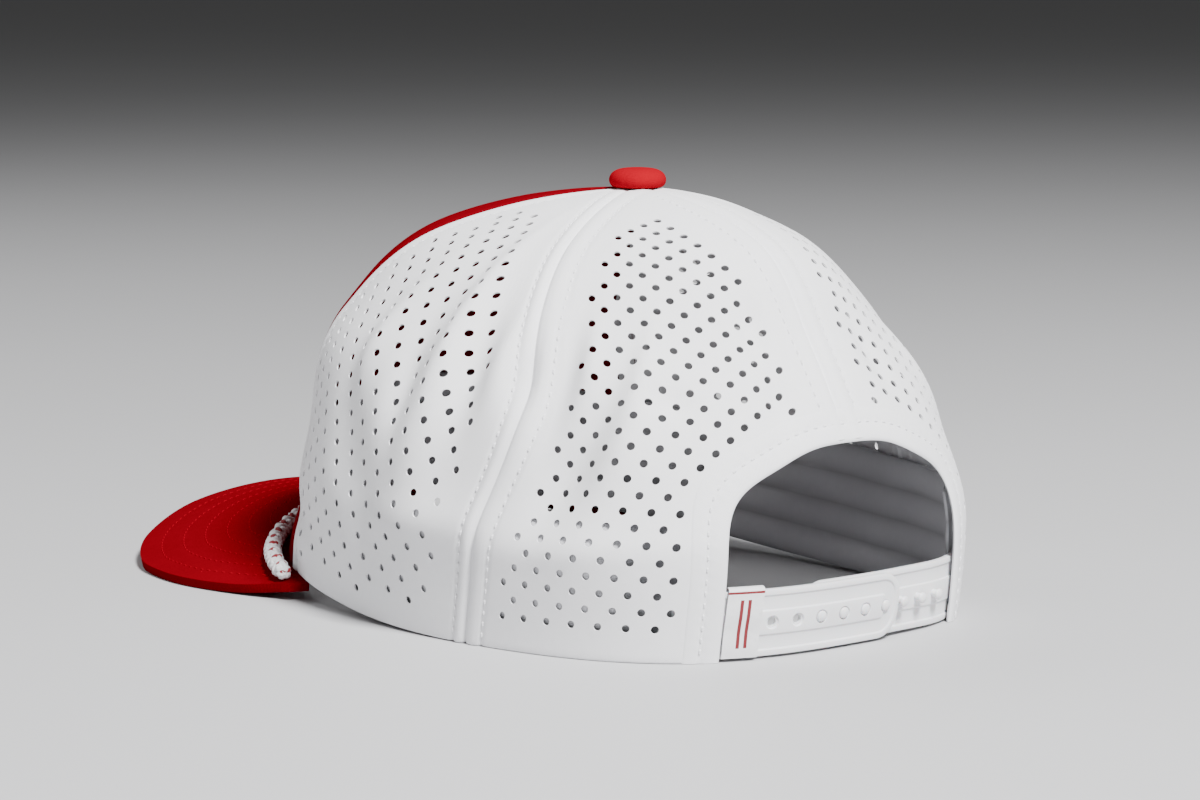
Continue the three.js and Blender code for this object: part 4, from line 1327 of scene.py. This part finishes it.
class CAP_OT_strap(bpy.types.Operator):
    """Moulds the two halves of the snap strap, fastened at the fourth hole"""

    bl_idname = "cap.strap"
    bl_label = "Snap strap"

    # The moulding in millimetres: corner of the tip, rim, slope of a step, channel, rounded edge,
    # radius of a hole, radius and depth of the ring round it, and length of a straight piece
    TIP, RIM, SLOPE, CHANNEL, EDGE, HOLE, RING, RING_DEPTH, PIECE = 6.6, 1.5, 0.35, 3.6, 0.14, 1.25, 2.2, 0.5, 1.6
    # Radius and height of a stud from its foot to the middle of its head
    STUD = [(0, 0), (1.1, 0), (1.1, 1.15), (1.45, 1.5), (1.5, 1.85), (1.3, 2.2), (0.8, 2.45), (0, 2.52)]

    def execute(self, context):
        plastic = made_once("strap_plastic", lambda n: moulded(n, context.scene.cap.colours.plastic))
        start = tip_azimuth()
        length = (STRAP["sewn_to"] - start) / strap_degrees(1)
        holes = self.blank("strap_holes_plastic", length)
        places = [STRAP["tip"] + STRAP["pitch"] * k for k in range(STRAP["holes"])]
        self.punch(holes, places)
        self.slice(holes, length)
        self.bend(holes, start, 1, lambda a: np.full(np.shape(a), strap_out()))
        finish_piece(holes, plastic, "strap_plastic", "strap_holes")
        start = hole_azimuth(STRAP["first_engaged"]) + strap_degrees(STRAP["tip"])
        length = (start + STRAP["sewn_to"]) / strap_degrees(1)
        studs = self.blank("strap_studs_plastic", length)
        self.slice(studs, length)
        studs = joined(studs.name, [studs, row_of("stud_heads", self.stud(), places, STRAP["relief"])])
        self.bend(studs, start, -1, inner_strap_out)
        finish_piece(studs, plastic, "strap_plastic", "strap_studs")
        return {"FINISHED"}

    def blank(self, name, length):
        """A flat strap: a rim, a channel, a raised band down the middle and a rounded tip."""
        relief = STRAP["relief"]
        piece = new_primitive(name, bpy.ops.mesh.primitive_plane_add, size=1)
        x, y, z = points_of(piece).T
        move_points(piece, np.stack([np.where(x < 0, 0, length), y * STRAP["height"], 0 * z], 1))
        in_edit_mode(piece, lambda v: v.co.x < 0.01, "VERT")
        bpy.ops.mesh.bevel(affect="VERTICES", offset=self.TIP, segments=9)
        out_of_edit_mode()
        in_edit_mode(piece)
        bpy.ops.mesh.extrude_region_move(TRANSFORM_OT_translate={"value": (0, 0, -STRAP["thickness"])})
        out_of_edit_mode()
        tidy_mesh(piece)
        in_edit_mode(piece, lambda f: f.normal.z > 0.9)
        for inset in ((self.RIM, 0), (self.SLOPE, -relief), (self.CHANNEL, 0), (self.SLOPE, relief)):
            bpy.ops.mesh.inset(thickness=inset[0], depth=inset[1])
        out_of_edit_mode()
        # The rim and the middle band stand out of the face, which is the channel between them.
        co = points_of(piece)
        co[co[:, 2] > -0.9, 2] += relief * 0.98
        move_points(piece, co)
        apply_modifier(
            piece, "BEVEL", width=self.EDGE, segments=2, limit_method="ANGLE", angle_limit=math.radians(28)
        )
        return piece

    def punch(self, piece, places):
        """Snap holes with a sunk ring round each."""
        drill = bpy.ops.mesh.primitive_cylinder_add
        through = new_primitive("snap_hole", drill, vertices=24, radius=self.HOLE, depth=6)
        cut_away(piece, row_of("snap_holes", through, places))
        ring = new_primitive("snap_ring", drill, vertices=24, radius=self.RING, depth=1)
        x, y, z = points_of(ring).T
        shrink = np.where(z < 0, 0.72, 1)
        move_points(ring, np.stack([x * shrink, y * shrink, z + 0.5], 1))
        cut_away(piece, row_of("snap_rings", ring, places, STRAP["relief"] - self.RING_DEPTH))

    def stud(self):
        """A snap stud with a domed head, turned round its axis."""
        r, a, z = turned(*np.array(self.STUD).T, 18)
        piece = grid("stud", 19, len(self.STUD))
        move_points(piece, np.stack([r * np.cos(a), r * np.sin(a), z], 1))
        tidy_mesh(piece, 1e-4)
        return piece

    def slice(self, piece, length):
        """Cuts the strap across, past its rounded tip, so that it can bend."""
        for x in np.arange(self.TIP + 0.6, length, self.PIECE):
            in_edit_mode(piece)
            bpy.ops.mesh.bisect(plane_co=(x, 0, 0), plane_no=(1, 0, 0))
        out_of_edit_mode()

    def bend(self, piece, start, way, depth):
        """Lays a flat strap round the crown's hem, one way or the other, at a depth inside it."""
        x, y, z = points_of(piece).T
        azimuth = start + way * strap_degrees(1) * x
        height = STRAP["bottom"] + STRAP["height"] / 2 + y
        co = crown_point(azimuth, climb_at(azimuth, height), z - depth(azimuth), fine=False)
        move_points(piece, co * MM)
        if way < 0:
            in_edit_mode(piece)
            bpy.ops.mesh.flip_normals()
            out_of_edit_mode()
        smooth(piece, 32)


# Label


class CAP_OT_label(bpy.types.Operator):
    """Folds the woven label over the strap beside the opening"""

    bl_idname = "cap.label"
    bl_label = "Folded label"

    # The tape in millimetres: depth of its front inside the crown's face, reach of its fold below
    # its top, how far short of its top the back ends, its thickness, and points across and in front
    FRONT, FOLD, SHORT, TAPE, COLUMNS, FRONT_ROWS = -0.75, 0.9, 3, 0.35, 25, 23
    # Stripes: places and half widths across, middle and half length, and place and half width of the bar
    STRIPES, STRIPE_HALF, STRIPE_SPAN, BAR = (3.6, 5.6), 0.45, (9.0, 6.4), (17.3, 0.3)

    def execute(self, context):
        columns, rows = self.COLUMNS, self.FRONT_ROWS
        low, high = LABEL["bottom"], LABEL["bottom"] + LABEL["height"]
        front, back, top = self.FRONT, -(strap_out() + STRAP["thickness"] + 0.5), high - self.FOLD
        middle = (front + back) / 2
        path = [(low + (top - low) * k / 22, front + 0.12 * math.sin(k * 0.55)) for k in range(rows)]
        turn = [math.pi * k / 9 for k in range(1, 9)]
        path += [(top + self.FOLD * math.sin(a), middle + (front - middle) * math.cos(a)) for a in turn]
        path += [(top - (high - self.SHORT - low) * k / 12, back) for k in range(13)]
        height, out = np.array(path).T
        s, h = (v.ravel() for v in np.meshgrid(np.linspace(0, 1, columns), height))
        azimuth = self.side(h) - strap_degrees(LABEL["width"]) * (1 - s)
        curl = 0.25 * (1 - s) ** 3 * (np.repeat(np.arange(len(path)), columns) < rows)
        co = crown_point(azimuth, climb_at(azimuth, h), np.repeat(out, columns) + curl, fine=False)
        length = np.concatenate([[0], np.cumsum(np.hypot(np.diff(height), np.diff(out)))])
        pattern = np.stack([s * LABEL["width"], np.repeat(length, columns)], 1)
        piece = sheet("label_cloth", columns, len(path), co, pattern)
        apply_modifier(piece, "SOLIDIFY", thickness=self.TAPE * MM, offset=0)
        tidy_mesh(piece)
        smooth(piece, 60)
        finish_piece(piece, self.material(context.scene.cap), "label_cloth", "strap_label")
        return {"FINISHED"}

    def side(self, height):
        """Azimuth of the opening's side at a small height."""
        n = ARCH["squareness"]
        x = ARCH["half_width"] * (1 - (np.minimum(height, 50) / ARCH["height"]) ** n) ** (1 / n) - 1.5 * GAP
        azimuth = np.degrees(np.arcsin(x / crown_radius(0, 0)[0]))
        return np.degrees(np.arcsin(x / crown_radius(azimuth, climb_at(azimuth, height))))

    def material(self, cap):
        """White woven tape with plain red stripes along it and a red bar at its fold."""
        shade = Shade("label_cloth")
        u, v = shade.uv("Pattern")

        def stripe(value, middle, half):
            apart = shade.math("ABSOLUTE", shade.math("SUBTRACT", value, middle))
            return shade.math("LESS_THAN", apart, half)

        marks = shade.math("MAXIMUM", *(stripe(u, at, self.STRIPE_HALF) for at in self.STRIPES))
        marks = shade.math("MULTIPLY", marks, stripe(v, *self.STRIPE_SPAN))
        marks = shade.math("MAXIMUM", marks, stripe(v, *self.BAR))
        mottle = shade.noise(900, 2)
        white = shade.mix(mottle, colour(cap.colours.white, 0.86), colour(cap.colours.white, 0.97))
        shade.set(Base_Color=shade.mix(marks, white, colour(cap.colours.red)))
        shade.set(Normal=shade.bump(shade.math("ADD", shade.wave(v, 0.3), mottle), 0.35, 0.00008))
        return shade.set(Roughness=0.7, Sheen_Weight=0.2)


# Stage


# Place in metres and width of each lamp; its power is among the settings
LAMPS = {"key": ((0.2, 1.15, 1.4), 0.4), "side": ((1.4, -0.1, 0.8), 0.9), "rear": ((0.5, -1.3, 1.1), 0.9)}
LAMP_AIM = (0, 0.02, 0.06)

# The photo's camera: focal length and film width in millimetres, place in metres and direction
CAMERA = {"lens": 102.286, "film": 36, "place": (0.61644, 0.76215, 0.17969), "look": (-0.6369, -0.7601, -0.1290)}


def place_and_aim(name, data, place, look):
    """A lamp or camera at a place, turned toward a direction."""
    made = bpy.data.objects.new(name, data)
    bpy.context.scene.collection.objects.link(made)
    made.location = place
    made.rotation_mode = "QUATERNION"
    made.rotation_quaternion = Vector(look).to_track_quat("-Z", "Y")
    return made


class CAP_OT_stage(bpy.types.Operator):
    """Sets the pale floor, the soft studio light and the camera"""

    bl_idname = "cap.stage"
    bl_label = "Floor, light and camera"

    def execute(self, context):
        scene, cap = context.scene, context.scene.cap
        floor = new_primitive("floor", bpy.ops.mesh.primitive_plane_add, size=30)
        shade = Shade("floor")
        tone = shade.mix(shade.noise(3, 4), colour(cap.colours.floor, 0.97), colour(cap.colours.floor))
        shade.set(Base_Color=tone, Roughness=0.6)
        floor.data.materials.append(shade.material)
        scene.world = scene.world or bpy.data.worlds.new("studio")
        scene.world.use_nodes = True
        background = scene.world.node_tree.nodes["Background"]
        background.inputs["Color"].default_value = (1, 1, 1, 1)
        background.inputs["Strength"].default_value = cap.light.fill
        for name, (place, size) in LAMPS.items():
            light = bpy.data.lights.new(name, "AREA")
            light.shape = "SQUARE"
            light.size, light.energy = size, getattr(cap.light, name)
            place_and_aim(name, light, place, Vector(LAMP_AIM) - Vector(place))
        camera = bpy.data.cameras.new("camera")
        camera.lens, camera.sensor_width, camera.clip_start = CAMERA["lens"], CAMERA["film"], 0.05
        scene.camera = place_and_aim("camera", camera, CAMERA["place"], CAMERA["look"])
        return {"FINISHED"}


# Settings


def length(name, description, value, least, most=None):
    """A length in millimetres among the settings, kept in metres."""
    limits = {"min": least * MM} if most is None else {"min": least * MM, "max": most * MM}
    return FloatProperty(name=name, description=description, default=value * MM, unit="LENGTH", precision=5, **limits)


def power(name, description, value):
    return FloatProperty(name=name, description=description, default=value, min=0, unit="POWER")


def tint(name, description, value):
    return FloatVectorProperty(name=name, description=description, subtype="COLOR", default=value, min=0, max=1)


class CapClothSettings(bpy.types.PropertyGroup):
    thickness: length("Cloth thickness", "Thickness of the panels' cloth", 0.45, 0.2, 1.2)
    hole_diameter: length("Hole diameter", "Width of each hole in the cloth", 2.15, 0.5, 4)
    hole_spacing: length("Hole spacing", "Distance between holes in a row", 7.8, 3)
    row_spacing: length("Row spacing", "Distance between rows of holes", 4.43, 2)
    seam_margin: length("Seam margin", "Plain cloth beside each seam", 12.5, 6)
    front_margin: length("Front margin", "Plain cloth beside the front panel", 8.5, 6)
    hem_margin: length("Hem margin", "Plain cloth above the hem", 7, 3)
    top_margin: length("Top margin", "Plain cloth below the button", 29, 9)
    arch_margin: length("Opening margin", "Plain cloth round the rear opening", 11, 9)


class CapStitchSettings(bpy.types.PropertyGroup):
    pitch: length("Stitch pitch", "Distance from stitch to stitch", 3.1, 1.5)
    thread: length("Thread", "Thickness of the thread", 0.62, 0.1)


class CapBrimSettings(bpy.types.PropertyGroup):
    row_spacing: length("Row spacing", "Distance between the brim's rows of stitches", 6.5, 3)
    rows: IntProperty(name="Rows", description="Rows of stitches on the brim", default=6, min=0, max=9)


class CapRopeSettings(bpy.types.PropertyGroup):
    diameter: length("Rope diameter", "Thickness of the rope", 4.9, 2)
    turn: length("Turn", "Length of rope in which a yarn goes once round", 13, 5)
    strands: IntProperty(name="Yarns", description="Yarns that run each way round", default=4, min=2, max=8)


class CapTrimSettings(bpy.types.PropertyGroup):
    close: length("Sweatband depth", "How far the sweatband lies inside the crown's face", 0.95, 0.8)
    ribs: IntProperty(name="Sweatband ribs", description="Padded ribs of the sweatband", default=4, min=1, max=8)


class CapColourSettings(bpy.types.PropertyGroup):
    white: tint("White cloth", "Colour of the side and back panels", (0.9, 0.9, 0.92))
    red: tint("Red cloth", "Colour of the front panel and the brim", (0.18, 0.001, 0.006))
    button: tint("Button", "Colour of the button's cloth", (0.3, 0.002, 0.01))
    sweatband: tint("Sweatband", "Colour of the sweatband", (0.7, 0.7, 0.73))
    plastic: tint("Strap", "Colour of the strap's plastic", (0.84, 0.84, 0.86))
    floor: tint("Floor", "Colour of the floor", (0.52, 0.52, 0.53))


class CapLightSettings(bpy.types.PropertyGroup):
    key: power("Key light", "Power of the light over the camera", 96)
    side: power("Side light", "Power of the light on the camera's left", 3)
    rear: power("Rear light", "Power of the light on the brim's side", 10)
    fill: FloatProperty(name="Fill", description="Strength of the even light all round", default=0.08, min=0)


class CapSettings(bpy.types.PropertyGroup):
    cloth: PointerProperty(type=CapClothSettings)
    stitching: PointerProperty(type=CapStitchSettings)
    brim: PointerProperty(type=CapBrimSettings)
    rope: PointerProperty(type=CapRopeSettings)
    trim: PointerProperty(type=CapTrimSettings)
    colours: PointerProperty(type=CapColourSettings)
    light: PointerProperty(type=CapLightSettings)


OPERATORS = [
    CAP_OT_crown, CAP_OT_front, CAP_OT_seams, CAP_OT_opening, CAP_OT_button, CAP_OT_brim, CAP_OT_rope,
    CAP_OT_sweatband, CAP_OT_strap, CAP_OT_label, CAP_OT_stage,
]


class CAP_PT_builder(bpy.types.Panel):
    """Lists the cap's pieces and their sizes"""

    bl_label = "Snapback Cap"
    bl_idname = "CAP_PT_builder"
    bl_space_type = "VIEW_3D"
    bl_region_type = "UI"
    bl_category = "Cap"

    def draw(self, context):
        cap = context.scene.cap
        for group in (cap.cloth, cap.stitching, cap.brim, cap.rope, cap.trim, cap.colours, cap.light):
            box = self.layout.box()
            for name in group.__annotations__:
                box.prop(group, name)
        for operator in OPERATORS:
            self.layout.operator(operator.bl_idname)


CLASSES = [
    CapClothSettings, CapStitchSettings, CapBrimSettings, CapRopeSettings, CapTrimSettings, CapColourSettings,
    CapLightSettings, CapSettings, *OPERATORS, CAP_PT_builder,
]


def register():
    for made in CLASSES:
        bpy.utils.register_class(made)
    bpy.types.Scene.cap = PointerProperty(type=CapSettings)


def unregister():
    del bpy.types.Scene.cap
    for made in reversed(CLASSES):
        bpy.utils.unregister_class(made)


def main():
    register()
    bpy.ops.cap.stage()
    bpy.ops.cap.crown()
    bpy.ops.cap.front()
    bpy.ops.cap.seams()
    bpy.ops.cap.opening()
    bpy.ops.cap.button()
    bpy.ops.cap.brim()
    bpy.ops.cap.rope()
    bpy.ops.cap.sweatband()
    bpy.ops.cap.strap()
    bpy.ops.cap.label()


if __name__ == "__main__":
    main()
